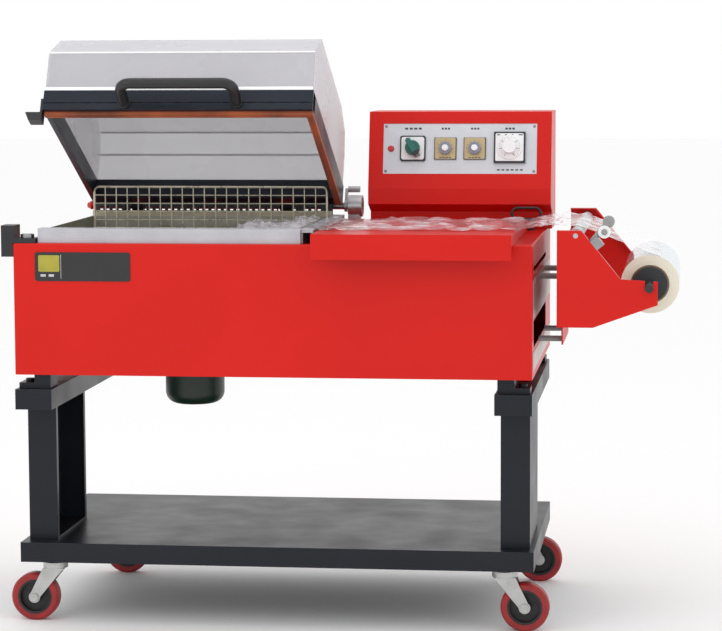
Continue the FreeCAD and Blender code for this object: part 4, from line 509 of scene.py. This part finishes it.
def bent_tube(radius, start, heading, moves, sides=20, into=None):
    """Pushes a ring along ("run", length) and round ("bend", centre, axis, degrees) moves."""
    build = bmesh.new()
    ring = bmesh.ops.create_circle(build, cap_ends=True, segments=sides, radius=radius)["verts"]
    bmesh.ops.rotate(build, verts=ring, matrix=Vector((0, 0, 1)).rotation_difference(Vector(heading)).to_matrix())
    bmesh.ops.translate(build, verts=ring, vec=start)
    front = list(build.faces)
    for move in moves:
        if move[0] == "run":
            grown = bmesh.ops.extrude_face_region(build, geom=front)["geom"]
            bmesh.ops.delete(build, geom=front, context="FACES_ONLY") if front[0].is_valid and move is not moves[0] else None
            vertices = [item for item in grown if isinstance(item, bmesh.types.BMVert)]
            bmesh.ops.translate(build, verts=vertices, vec=move[1])
            front = [item for item in grown if isinstance(item, bmesh.types.BMFace)]
        else:
            grown = bmesh.ops.spin(build, geom=front, cent=move[1], axis=move[2], angle=math.radians(move[3]),
                                   steps=10, use_merge=False)["geom_last"]
            front = [item for item in grown if isinstance(item, bmesh.types.BMFace)]
    bmesh.ops.remove_doubles(build, verts=build.verts, dist=1e-4)
    bmesh.ops.recalc_face_normals(build, faces=build.faces)
    return poured(build, into)


QUARTER = math.pi / 2
TO_FRONT = Matrix.Rotation(QUARTER, 4, "X")
print("shaping helpers ready")

# %% [markdown]
# ## Frames to work in
# The control panel leans back and the cover stands open, so each has its own frame: X to the right, Y
# up the face and Z out of it. A piece drawn flat in such a frame lands square on the metal.

# %% Frames of the panel and the cover


def face_frame(place, normal):
    """X along the machine, Y up the face and Z along its normal."""
    normal = Vector(normal).normalized()
    up = normal.cross(Vector((1, 0, 0)))
    turn = Matrix(((1, 0, 0), up, normal)).transposed().to_4x4()
    return Matrix.Translation(place) @ turn


def box_in(name, matrix):
    """Low and high corners of a solid in millimetres of the given frame."""
    inverse = matrix.inverted()
    points = [inverse @ vertex.co for vertex in nodes[name].data.vertices]
    low = Vector([min(point[axis] for point in points) for axis in range(3)]) / MM
    high = Vector([max(point[axis] for point in points) for axis in range(3)]) / MM
    return low, high


panel_normal = joints["cam_switch_turn"]["axis"]
devices = {
    name: face_frame(Vector(joints[f"{name}_turn"]["pos_m"]), panel_normal)
    for name in ("cam_switch", "timer_left", "timer_right", "thermostat")
}
COVER_OPEN = math.radians(26)
cover_frame = Matrix.Translation(Vector(joints["cover_hinge"]["pos_m"])) @ Matrix.Rotation(-COVER_OPEN, 4, "X")
panel_low, panel_high = box_in("control_panel", devices["cam_switch"])
print("panel face", tuple(round(value) for value in panel_low), tuple(round(value) for value in panel_high))

# %% [markdown]
# ## The dome
# The hood is a heat-formed sheet of milky polycarbonate. Light goes through it and scatters, so a
# plain glass shader looks wrong. Partial alpha with a pale base is closer: it stays see-through from
# the front and turns denser at a glancing angle, where the light crosses more of the sheet.

# %% Milky sheet
milky_sheet = finish_of("milky_sheet", tint(212, 211, 216), 0.26, shine=0.3, mottle=0.03, patch=5, grain=(260, 260, 260),
                        dent=0.12)
milky_tree = milky_sheet.node_tree
glance = add_node(milky_tree, "ShaderNodeLayerWeight", Blend=0.35)
milky_tree.links.new(between(milky_tree, glance.outputs["Facing"], 0.1, 0.9, 0.5, 0.82),
                     milky_tree.nodes["Principled BSDF"].inputs["Alpha"])
dress(milky_sheet, "cover_dome")
white_edging = finish_of("white_edging", tint(248, 248, 248), 0.4, mottle=0.03, patch=12, dent=0.1)
print("dome is see-through")

# %% [markdown]
# White edging covers the dome's bends and its rim, where the sheet was scored and bonded. Each
# band is a thin strip that follows two sides of the section and runs the whole length.

# %% Dome edging
dome_low, dome_high = box_in("cover_dome", cover_frame)
EDGING = 0.8
BAND = 2.5
front_edge = dome_low.y
section = [(front_edge, 38), (front_edge, 125), (-441, 191), (-109, 191), (-35, 162), (-22, 113), (-22, 38)]


def band(into, points, out):
    """Extrudes a bent strip along X; out is its thickness, away from the dome."""
    first, corner, last = [Vector(point) for point in points]
    start = corner + (first - corner).normalized() * BAND
    finish = corner + (last - corner).normalized() * BAND
    lean = ((corner - start).normalized() + (corner - finish).normalized()).normalized() * out
    outline = [start, corner, finish, finish + lean, corner + lean, start + lean]
    build = flat_shape([tuple(point) for point in outline], dome_high.x - dome_low.x, edge=0)
    stand = Matrix(((0, 0, 1), (1, 0, 0), (0, 1, 0))).to_4x4()
    bmesh.ops.transform(build, matrix=Matrix.Translation((dome_low.x, 0, 0)) @ stand, verts=build.verts)
    return poured(build, into)


edging = bmesh.new()
for index in range(1, len(section) - 1):
    band(edging, section[index - 1:index + 2], EDGING)
rim_height = 8
for y in (front_edge - EDGING / 2, -22 + EDGING / 2):
    block((dome_high.x - dome_low.x, EDGING, rim_height), edge=0.2,
          centre=((dome_low.x + dome_high.x) / 2, y, dome_low.z + rim_height / 2), into=edging)
make("dome_edging", edging, white_edging, "cover", cover_frame)

# %% [markdown]
# ## Control panel
# The panel is aluminium with a sparkling grain. Above each device a rounded frame is engraved with a
# caption, which stays a few plain strokes here. Rounded outlines, rings and ticks are all flat shapes a
# fraction of a millimetre thick, so one helper for the outline serves them all.

# %% Panel finishes
panel_metal = finish_of("panel_metal", tint(206, 208, 214), 0.36, metallic=0.55, mottle=0.05, patch=30,
                        grain=(1800, 1800, 1800), dent=0.9, depth=0.00012)
dress(panel_metal, "control_panel")
dark_print = finish_of("dark_print", tint(60, 62, 70), 0.5, mottle=0.1, patch=60, dent=0.1)
white_plastic = finish_of("white_plastic", tint(240, 241, 242), 0.35, mottle=0.03, patch=40, dent=0.08)
gold_plate = finish_of("gold_plate", tint(190, 172, 132), 0.42, metallic=0.3, mottle=0.08, patch=50,
                       grain=(60, 1200, 1200), dent=0.2)
grey_blue = finish_of("grey_blue", tint(148, 154, 170), 0.4, metallic=0.2, mottle=0.1, patch=80, dent=0.2)
screw_steel = finish_of("screw_steel", tint(140, 142, 146), 0.3, metallic=0.9, mottle=0.12, patch=90, dent=0.2)
dark_plastic = finish_of("dark_plastic", tint(34, 42, 46), 0.4, mottle=0.12, patch=50, dent=0.2)
print("panel finishes ready")

# %% Flat marks


def rounded_outline(width, height, corner, steps=5):
    """Points of a rectangle with round corners, counterclockwise round its middle."""
    points = []
    for quarter, (side, rise) in enumerate(((1, 1), (-1, 1), (-1, -1), (1, -1))):
        for step in range(steps + 1):
            angle = (quarter + step / steps) * QUARTER
            points.append((side * (width / 2 - corner) + corner * math.cos(angle),
                           rise * (height / 2 - corner) + corner * math.sin(angle)))
    return points


def framed(width, height, corner, line, thick, centre=(0, 0, 0), into=None):
    """A rounded frame: an inset face is removed and the rest is raised."""
    build = bmesh.new()
    face = build.faces.new([build.verts.new((x, y, 0)) for x, y in rounded_outline(width, height, corner)])
    face.normal_update()
    bmesh.ops.inset_region(build, faces=[face], thickness=line, use_even_offset=True)
    bmesh.ops.delete(build, geom=[face], context="FACES_ONLY")
    grown = bmesh.ops.extrude_face_region(build, geom=list(build.faces))["geom"]
    bmesh.ops.translate(build, vec=(0, 0, thick), verts=[v for v in grown if isinstance(v, bmesh.types.BMVert)])
    bmesh.ops.recalc_face_normals(build, faces=build.faces)
    bmesh.ops.translate(build, vec=centre, verts=build.verts)
    return poured(build, into)


def strokes(into, places, width, height, thick):
    """Short bars that stand for a caption."""
    for x, y, share in places:
        block((width * share, height, thick), edge=0, centre=(x, y, thick / 2), into=into)


def ticks(into, count, inner, outer, width, thick, lift, sweep=300):
    """Radial marks round a dial, open at the bottom."""
    for index in range(count):
        angle = math.radians(90 + sweep / 2 - sweep * index / (count - 1))
        build = block((outer - inner, width, thick), edge=0, centre=((inner + outer) / 2, 0, lift + thick / 2))
        bmesh.ops.rotate(build, verts=build.verts, matrix=Matrix.Rotation(angle, 3, "Z"))
        poured(build, into)


def screw_head(into, x, y, radius, height, lift=0.0, turn=0.6):
    """A domed head with a cross of two slots sunk in it."""
    build = turned([(0, height), (radius * 0.6, height * 0.93), (radius * 0.9, height * 0.6), (radius, 0), (0, 0)], 24)
    bmesh.ops.translate(build, vec=(x, y, lift), verts=build.verts)
    poured(build, into)
    for angle in (turn, turn + QUARTER):
        bar = block((radius * 1.3, radius * 0.2, 0.12), edge=0, centre=(0, 0, height))
        bmesh.ops.rotate(bar, verts=bar.verts, matrix=Matrix.Rotation(angle, 3, "Z"))
        bmesh.ops.translate(bar, vec=(x, y, lift), verts=bar.verts)
        poured(bar, into)


print("mark helpers ready")

# %% Captions and screws on the panel
PRINT = 0.15
face_lift = panel_high.z
visible = (panel_low.x + 10, panel_low.y + 10, panel_high.x - 10, panel_high.y - 10)
captions = bmesh.new()
for name, width in (("cam_switch", 50), ("timer_left", 34), ("timer_right", 34), ("thermostat", 38)):
    shift = (devices["cam_switch"].inverted() @ devices[name].translation).x / MM
    height = visible[3] - 11
    framed(width, 13, 4, 0.7, PRINT, (shift, height, face_lift), into=captions)
    marks = bmesh.new()
    count = 4 if width > 40 else 3
    strokes(marks, [(shift + (index - (count - 1) / 2) * width * 0.2, height, 0.8) for index in range(count)],
            width * 0.17, 4.2, PRINT)
    bmesh.ops.translate(marks, vec=(0, 0, face_lift), verts=marks.verts)
    poured(marks, captions)
foot = bmesh.new()
thermo_shift = (devices["cam_switch"].inverted() @ devices["thermostat"].translation).x / MM
strokes(foot, [(thermo_shift - 24 + index * 10, visible[1] + 9, 0.7) for index in range(6)], 9, 3, PRINT)
bmesh.ops.translate(foot, vec=(0, 0, face_lift), verts=foot.verts)
poured(foot, captions)
make("panel_captions", captions, dark_print, "base", devices["cam_switch"])
corner_screws = bmesh.new()
for x in (visible[0] + 6, visible[2] - 6):
    for y in (visible[1] + 6, visible[3] - 6):
        screw_head(corner_screws, x, y, 3.2, 1.4, face_lift, turn=x)
make("panel_screws", corner_screws, screw_steel, "base", devices["cam_switch"])

# %% [markdown]
# ## Switch, timers and thermostat
# The four bezels are one node, so the base finish is dark and each device gets its own face plate on
# top. The knobs are solids that turn. Their finishes measure the distance from their own spindle, so the
# white cap and the grey ring of a timer come out of one solid.

# %% Knob finishes
dress(dark_plastic, "control_bezels")


def from_spindle(tree, name):
    """Distance from a device's spindle, and height up the panel, as node outputs."""
    place = devices[name].translation
    up = devices[name].col[1].to_3d()
    shifted = coordinates(tree, (1, 1, 1), place)
    climb = add_node(tree, "ShaderNodeVectorMath", operation="DOT_PRODUCT")
    tree.links.new(shifted, climb.inputs[0])
    climb.inputs[1].default_value = up
    across = add_node(tree, "ShaderNodeSeparateXYZ")
    tree.links.new(shifted, across.inputs[0])
    flat = add_node(tree, "ShaderNodeCombineXYZ")
    tree.links.new(across.outputs["X"], flat.inputs["X"])
    tree.links.new(climb.outputs["Value"], flat.inputs["Y"])
    length = add_node(tree, "ShaderNodeVectorMath", operation="LENGTH")
    tree.links.new(flat.outputs["Vector"], length.inputs[0])
    return length.outputs["Value"], across.outputs["X"], climb.outputs["Value"]


def two_tone(name, device, inner, outer, radius):
    """One colour inside a radius about the spindle and another outside it."""
    material = finish_of(name, outer, 0.36, mottle=0.08, patch=80, dent=0.15)
    tree = material.node_tree
    shader = tree.nodes["Principled BSDF"]
    rim = shader.inputs["Base Color"].links[0].from_socket
    share = between(tree, from_spindle(tree, device)[0], radius - 0.0002, radius + 0.0002, 0, 1)
    tree.links.new(blend_colours(tree, share, inner, rim), shader.inputs["Base Color"])
    return material


for side in ("left", "right"):
    dress(two_tone(f"timer_{side}_finish", f"timer_{side}", tint(244, 245, 246), tint(132, 138, 154), 0.0072),
          f"timer_knob_{side}")
dress(white_plastic, "thermostat_knob")
teal_plastic = finish_of("teal_plastic", tint(16, 104, 92), 0.34, mottle=0.08, patch=60, dent=0.12, coat=0.2)
teal_tree = teal_plastic.node_tree
teal_shader = teal_tree.nodes["Principled BSDF"]
teal = teal_shader.inputs["Base Color"].links[0].from_socket
_, sideways, climb = from_spindle(teal_tree, "cam_switch")
tail = add_node(teal_tree, "ShaderNodeMath", operation="MULTIPLY_ADD")
teal_tree.links.new(sideways, tail.inputs[0])
tail.inputs[1].default_value = -0.7
teal_tree.links.new(climb, tail.inputs[2])
teal_share = between(teal_tree, tail.outputs["Value"], -0.0145, -0.0135, 0, 1)
teal_tree.links.new(blend_colours(teal_tree, teal_share, tint(24, 30, 34), teal), teal_shader.inputs["Base Color"])
dress(teal_plastic, "cam_switch_knob")
print("knobs finished")

# %% Face plates
BEZEL_TOPS = {"cam_switch": 6, "timer_left": 5, "timer_right": 5, "thermostat": 9}
PLATE = 0.5
panel_face = panel_high.z


def face_plate(name, width, height, corner, hole, material):
    """A thin plate on a bezel, with a hole for the spindle."""
    build = bmesh.new()
    rim = [build.verts.new((x, y, 0)) for x, y in rounded_outline(width, height, corner)]
    steps = len(rim)
    inner = [build.verts.new((hole * math.cos(math.tau * (index + 0.5) / steps),
                              hole * math.sin(math.tau * (index + 0.5) / steps), 0)) for index in range(steps)]
    edges = [build.edges.new((loop[index], loop[(index + 1) % steps])) for loop in (rim, inner) for index in range(steps)]
    bmesh.ops.bridge_loops(build, edges=edges)
    grown = bmesh.ops.extrude_face_region(build, geom=list(build.faces))["geom"]
    bmesh.ops.translate(build, vec=(0, 0, PLATE), verts=[v for v in grown if isinstance(v, bmesh.types.BMVert)])
    bmesh.ops.recalc_face_normals(build, faces=build.faces)
    bmesh.ops.translate(build, vec=(0, 0, tops[name]), verts=build.verts)
    return make(f"{name}_plate", build, material, "base", devices[name])


tops = {name: box_in("control_bezels", devices[name])[1].z for name in devices}
thickest = tops["cam_switch"]
tops = {name: thickest - max(BEZEL_TOPS.values()) + rise for name, rise in BEZEL_TOPS.items()}
face_plate("cam_switch", 50, 50, 5, 4, white_plastic)
face_plate("timer_left", 45, 47, 3, 4, gold_plate)
face_plate("timer_right", 45, 47, 3, 4, gold_plate)
face_plate("thermostat", 61, 61, 3, 4, white_plastic)
for name in ("timer_left", "timer_right"):
    dial = bmesh.new()
    ticks(dial, 11, 16.2, 18.6, 0.7, PRINT, tops[name] + PLATE)
    lines = bmesh.new()
    strokes(lines, [(index * 7 - 10.5, -20.5, 0.75) for index in range(4)], 6.5, 1.8, PRINT)
    bmesh.ops.translate(lines, vec=(0, 0, tops[name] + PLATE), verts=lines.verts)
    poured(lines, dial)
    make(f"{name}_scale", dial, dark_print, "base", devices[name])
corners = bmesh.new()
top = tops["thermostat"] + PLATE
strokes(corners, [(-24, 27, 1), (24, 27, 1.3), (-8, 27, 0.6), (6, 27, 0.6)], 7, 2.2, PRINT)
bmesh.ops.translate(corners, vec=(0, 0, top), verts=corners.verts)
make("thermostat_marks", corners, dark_print, "base", devices["thermostat"])

# %% [markdown]
# The thermostat's scale is on the skirt of its knob and turns with it. Plain figures round the skirt
# come from a text curve made into a mesh, then turned so that each one faces the centre.

# %% Thermostat scale


def figures(into, text, size, radius, angle, lift):
    curve = bpy.data.curves.new("figures", "FONT")
    curve.body = text
    curve.size = size
    curve.align_x = "CENTER"
    curve.resolution_u = 2
    holder = bpy.data.objects.new("figures", curve)
    mesh = bpy.data.meshes.new_from_object(holder)
    build = bmesh.new()
    build.from_mesh(mesh)
    bpy.data.meshes.remove(mesh)
    bpy.data.objects.remove(holder)
    bpy.data.curves.remove(curve)
    bmesh.ops.translate(build, vec=(0, radius, lift), verts=build.verts)
    bmesh.ops.rotate(build, verts=build.verts, matrix=Matrix.Rotation(angle, 3, "Z"))
    poured(build, into)


SKIRT_EDGE = 26
to_knob = devices["thermostat"].inverted()
knob_points = [(to_knob @ vertex.co) / MM for vertex in nodes["thermostat_knob"].data.vertices]
skirt_top = max(point.z for point in knob_points if point.xy.length > SKIRT_EDGE)
scale = bmesh.new()
ticks(scale, 31, 21, 23.5, 0.45, PRINT, skirt_top)
ticks(scale, 7, 19.5, 23.5, 0.9, PRINT, skirt_top)
for index, value in enumerate(range(0, 350, 50)):
    figures(scale, str(value), 3.6, 16.2, math.radians(150 - 50 * index), skirt_top + PRINT)
make("thermostat_scale", scale, dark_print, "thermostat", devices["thermostat"])
print("skirt lies", round(skirt_top, 1), "mm out from the spindle's zero")

# %% [markdown]
# ## Name plate
# The black plate on the front is left bare of words. A thin silver frame runs inside its edge, a bar
# parts it in two, and an olive square fills the left cell.

# %% Name plate
gloss_black = finish_of("gloss_black", tint(24, 24, 26), 0.25, mottle=0.1, patch=30, dent=0.05, coat=0.3)
dress(gloss_black, "nameplate")
olive_print = finish_of("olive_print", tint(166, 158, 52), 0.4, mottle=0.1, patch=40, dent=0.1)
silver_print = finish_of("silver_print", tint(196, 198, 200), 0.35, metallic=0.5, mottle=0.08, patch=40, dent=0.1)
plate_low, plate_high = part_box("nameplate")
plate_middle = Vector(((plate_low.x + plate_high.x) / 2, plate_low.y, (plate_low.z + plate_high.z) / 2))
plate_frame = face_frame(plate_middle, (0, -1, 0))
plate_size = (plate_high - plate_low) / MM
lines = framed(plate_size.x - 8, plate_size.z - 8, 4, 1.1, PRINT)
divider = plate_size.x / 2 - 54
block((1.1, plate_size.z - 10, PRINT), edge=0, centre=(-divider, 0, PRINT / 2), into=lines)
strokes(lines, [(-plate_size.x / 2 + 17 + 17 * index, -18, 1) for index in range(2)], 11, 5, PRINT)
make("nameplate_lines", lines, silver_print, "base", plate_frame)
cell = flat_shape(rounded_outline(44, 34, 3), PRINT, edge=0)
bmesh.ops.translate(cell, vec=(-plate_size.x / 2 + 29, 6.5, 0), verts=cell.verts)
make("nameplate_cell", cell, olive_print, "base", plate_frame)

# %% [markdown]
# ## Film roll and its chuck
# Film on a roll looks blue-white on its side, where light passes through many layers, and cream on its
# ends, where the edges of the layers show. The card core is brown. Position decides all three.

# %% Film roll finish
spool_axle = Vector(joints["film_spool_spin"]["pos_m"])
roll_low, roll_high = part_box("film_roll")
wound_film = finish_of("wound_film", tint(196, 208, 214), 0.22, mottle=0.12, patch=22, grain=(40, 900, 40), dent=0.35,
                       coat=0.5)
roll_tree = wound_film.node_tree
roll_shader = roll_tree.nodes["Principled BSDF"]
side_colour = roll_shader.inputs["Base Color"].links[0].from_socket
radial = add_node(roll_tree, "ShaderNodeVectorMath", operation="LENGTH")
roll_tree.links.new(coordinates(roll_tree, (1, 0, 1), spool_axle), radial.inputs[0])
rings = cloud(roll_tree, radial.outputs["Value"], detail=1, scale=1400)
cream = blend_colours(roll_tree, rings, tint(222, 214, 190), tint(246, 242, 226))
depth_axis = add_node(roll_tree, "ShaderNodeSeparateXYZ")
roll_tree.links.new(coordinates(roll_tree), depth_axis.inputs[0])
end_share = between(roll_tree, depth_axis.outputs["Y"], roll_low.y + 0.003, roll_low.y + 0.004, 1, 0)
back_share = between(roll_tree, depth_axis.outputs["Y"], roll_high.y - 0.004, roll_high.y - 0.003, 0, 1)
ends = add_node(roll_tree, "ShaderNodeMath", operation="MAXIMUM")
roll_tree.links.new(end_share, ends.inputs[0])
roll_tree.links.new(back_share, ends.inputs[1])
core_share = between(roll_tree, radial.outputs["Value"], 0.0388, 0.0392, 0, 1)
banded = blend_colours(roll_tree, ends.outputs["Value"], side_colour, cream)
roll_tree.links.new(blend_colours(roll_tree, core_share, tint(120, 92, 66), banded), roll_shader.inputs["Base Color"])
dress(wound_film, "film_roll")
dress(dark_plastic, "film_shaft")
dress(white_plastic, "needle_wheel")
grip_rubber = finish_of("grip_rubber", tint(30, 30, 32), 0.32, mottle=0.15, patch=24, grain=(600, 600, 600), dent=0.3)
dress(grip_rubber, "cover_handle")
print("roll, chuck and grip finished")

# %% Chuck screws
chuck_screws = bmesh.new()
chuck_low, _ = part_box("film_shaft")
chuck_frame = face_frame(Vector((spool_axle.x, chuck_low.y, spool_axle.z)), (0, -1, 0))
core_face = (chuck_low.y - roll_low.y) / MM
for index in range(3):
    angle = math.tau * index / 3 + 0.4
    screw_head(chuck_screws, 20 * math.cos(angle), 20 * math.sin(angle), 5, 3, core_face - 0.2, turn=angle)
make("chuck_screws", chuck_screws, screw_steel, "film_spool", chuck_frame)

# %% [markdown]
# ## The film
# Clear film lies loose on the tray, sinks into the chamber in a bunch, and climbs over the guide
# roller from the spool. A grid of points follows that path. Ridged noise pushes the loose parts up
# in sharp folds, and ramps keep it flat on the bars and round the roller. The area of its faces
# is summed as well.

# %% The film's path
FILM_SKIN = 0.25
tray_low, tray_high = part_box("loading_tray")
bed_low, bed_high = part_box("seal_bed")
pad_low, pad_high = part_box("seal_pad")
grid_low, grid_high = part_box("product_grid")
roller_low, roller_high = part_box("film_roller")
roller_axle = Vector(joints["guide_roller_spin"]["pos_m"])


def machine(point):
    return Vector(((point.x - body_low.x) / MM, (point.y - body_low.y) / MM, point.z / MM))


tray_right = machine(tray_high).x
tray_left = machine(tray_low).x
tray_level = tray_high.z / MM + 1.2
grid_level = grid_high.z / MM + 2.5
pad_level = pad_high.z / MM + 1.2
roller_radius = (roller_high.z - roller_low.z) / 2 / MM
roll_radius = (roll_high.z - roll_low.z) / 2 / MM
axle = machine(roller_axle)
spool = machine(spool_axle)
away = Vector((spool.x - axle.x, spool.z - axle.z))
lean = math.atan2(away.y, away.x) + math.acos((roller_radius - roll_radius) / away.length)
skin_roller = roller_radius + 0.8
leave_roller = (axle.x + skin_roller * math.cos(lean), axle.z + skin_roller * math.sin(lean))
meet_roll = (spool.x + (roll_radius + 0.8) * math.cos(lean), spool.z + (roll_radius + 0.8) * math.sin(lean))
over_roller = [(axle.x + skin_roller * math.sin(math.radians(turn)), axle.z + skin_roller * math.cos(math.radians(turn)))
               for turn in range(-6, 40, 8) if turn < 90 - math.degrees(lean)]
route = [(400, grid_level), (560, grid_level + 3), (584, pad_level), (618, pad_level), (tray_left + 8, tray_level),
         (tray_right, tray_level)] + over_roller + [leave_roller, meet_roll]
print("film leaves the roller at", tuple(round(value) for value in leave_roller))

# %% Folding the film


def along_route(share):
    """The point and the distance at a share of the whole route."""
    target = share * route_length
    for start, finish, before in legs:
        length = math.dist(start, finish)
        if target <= before + length or finish == route[-1]:
            part = (target - before) / length
            return start[0] + (finish[0] - start[0]) * part, start[1] + (finish[1] - start[1]) * part
    return route[-1]


legs = []
route_length = 0
for start, finish in zip(route, route[1:]):
    legs.append((start, finish, route_length))
    route_length += math.dist(start, finish)


def ramp(value, low, high):
    share = min(1, max(0, (value - low) / (high - low)))
    return share * share * (3 - 2 * share)


def film_edges(x):
    """Front and back edge of the film at a distance along the machine."""
    gather = ramp(x, tray_right - 10, axle.x - 30)
    front = 34 + 22 * (1 - ramp(x, 590, 620))
    return front + (104 - front) * gather, 404 + 92 * gather


def fold_height(x, y):
    """How far a fold lifts the film off what it lies on."""
    place = Vector((x * 0.014, y * 0.011, 0.7))
    crease = 1 - abs(noise.noise(place) * 2.2)
    fine = 1 - abs(noise.noise(Vector((x * 0.05, y * 0.024, 4.1))) * 2)
    bunch = 26 * ramp(x, 400, 440) * (1 - ramp(x, 560, 584)) * max(0, crease) ** 2
    loose = 5.5 * ramp(x, tray_left + 5, tray_left + 40) * (1 - ramp(x, tray_right - 8, tray_right))
    span = 9 * ramp(x, tray_right, tray_right + 40) * (1 - ramp(x, axle.x - 45, axle.x - 12))
    return bunch * (0.7 + 0.3 * fine) + loose * max(0, crease) ** 3 + span * (crease * 0.6 + fine * 0.3) + 0.6 * fine


STEPS_ALONG = 420
STEPS_ACROSS = 150
film = bmesh.new()
columns = []
for step in range(STEPS_ALONG + 1):
    x, z = along_route(step / STEPS_ALONG)
    front, back = film_edges(x)
    column = []
    for across in range(STEPS_ACROSS + 1):
        y = front + (back - front) * across / STEPS_ACROSS
        column.append(film.verts.new((x, y, z + fold_height(x, y))))
    columns.append(column)
for first, second in zip(columns, columns[1:]):
    for index in range(STEPS_ACROSS):
        film.faces.new((first[index], second[index], second[index + 1], first[index + 1]))
film_area = sum(face.calc_area() for face in film.faces)
bmesh.ops.recalc_face_normals(film, faces=film.faces)
film_object_place = Matrix.Translation(at(0, 0, 0))

# %% Clear film finish
clear_film = finish_of("clear_film", tint(236, 232, 238), 0.12, mottle=0.04, patch=20, grain=(300, 300, 300), dent=0.2,
                       coat=0.6)
film_tree = clear_film.node_tree
# Painted highlights: white streaks of opacity on the clear film stand for its glossy glints, and the extra opacity at
# glancing angles is a painted sheen.
glint_streaks = cloud(film_tree, coordinates(film_tree, (16, 34, 60)), detail=5)
film_glance = add_node(film_tree, "ShaderNodeLayerWeight", Blend=0.3)
painted_sheen = add_node(film_tree, "ShaderNodeMath", operation="MULTIPLY_ADD")
film_tree.links.new(between(film_tree, glint_streaks, 0.42, 0.66, 0.05, 0.6), painted_sheen.inputs[0])
painted_sheen.inputs[1].default_value = 1
film_tree.links.new(between(film_tree, film_glance.outputs["Facing"], 0.4, 1, 0.1, 0.45), painted_sheen.inputs[2])
film_tree.links.new(painted_sheen.outputs["Value"], film_tree.nodes["Principled BSDF"].inputs["Alpha"])
film_sheet = make("film_sheet", film, clear_film, "base", film_object_place, smooth=60)
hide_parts("film_web")

# %% [markdown]
# ## The right-hand wall and the back
# Below the film cradle, two pale pinkish strips on the cabinet's right wall are a painted reflection:
# the red wall, seen at a glancing angle, looks pale there under the lamps. At the back a removable
# panel with louvres lets the transformer cool, and the mains cable would enter through a gland
# beside it. A louvre is a slot with a raised lip, made here as a half-round scoop.

# %% Painted sheen on the right wall
# The pale pinkish strips are painted reflection on the red right wall, seen at a glancing angle.
sheen_paint = finish_of("sheen_paint", tint(196, 180, 176), 0.38, metallic=0.3, mottle=0.14, patch=16, dent=0.25)
wall_x = body_high.x
side_frame = Matrix.Translation(Vector((wall_x, body_low.y, 0))) @ Matrix(((0, 0, 1), (1, 0, 0), (0, 1, 0))).to_4x4()
wall_sheen_strips = flat_shape([(14, 540), (636, 540), (636, 578), (14, 578)], 0.9, edge=0.3)
flat_shape([(14, 646), (636, 646), (636, 724), (14, 724)], 0.9, edge=0.3, into=wall_sheen_strips)
make("wall_sheen_strips", wall_sheen_strips, sheen_paint, "base", side_frame)

# %% Rear panel, louvres and gland
back_frame = face_frame(Vector(((body_low.x + body_high.x) / 2, body_high.y, 0.665)), (0, 1, 0))
rear_panel = flat_shape(rounded_outline(420, 170, 6), 1.2, edge=0.4)
make("rear_panel", rear_panel, red_enamel, "base", back_frame)
louvres = bmesh.new()
LOUVRES = 9
for index in range(LOUVRES):
    scoop = bmesh.new()
    arc = [(0, 3.4 * math.sin(QUARTER * step / 6), 3.4 * (1 - math.cos(QUARTER * step / 6))) for step in range(7)]
    outline = [(y, z) for _, z, y in [(0, 0, 0)] + [(0, a, b) for _, a, b in arc]]
    profile = [(0, 0)] + [(5 * math.cos(QUARTER * step / 6), 4 * math.sin(QUARTER * step / 6)) for step in range(7)]
    scoop = flat_shape(profile, 70, edge=0.2)
    rise = (index - (LOUVRES - 1) / 2) * 15
    place = Matrix.Translation((-35 - 90, rise, 1.2)) @ Matrix(((0, 0, 1), (1, 0, 0), (0, 1, 0))).to_4x4()
    for shift in (0, 180):
        copy = scoop.copy()
        bmesh.ops.transform(copy, matrix=Matrix.Translation((shift, 0, 0)) @ place, verts=copy.verts)
        poured(copy, louvres)
    scoop.free()
make("rear_louvres", louvres, red_enamel, "base", back_frame)
panel_screws = bmesh.new()
for x in (-200, 200):
    for y in (-75, 75):
        screw_head(panel_screws, x, y, 4, 2, 1.2, turn=x + y)
make("rear_panel_screws", panel_screws, screw_steel, "base", back_frame)
gland = turned([(0, 16), (7, 16), (7, 13), (9.5, 13), (9.5, 5), (12, 5), (12, 0), (0, 0)], 24)
bmesh.ops.translate(gland, vec=(270, -50, 0), verts=gland.verts)
make("cable_gland", gland, dark_plastic, "base", back_frame)
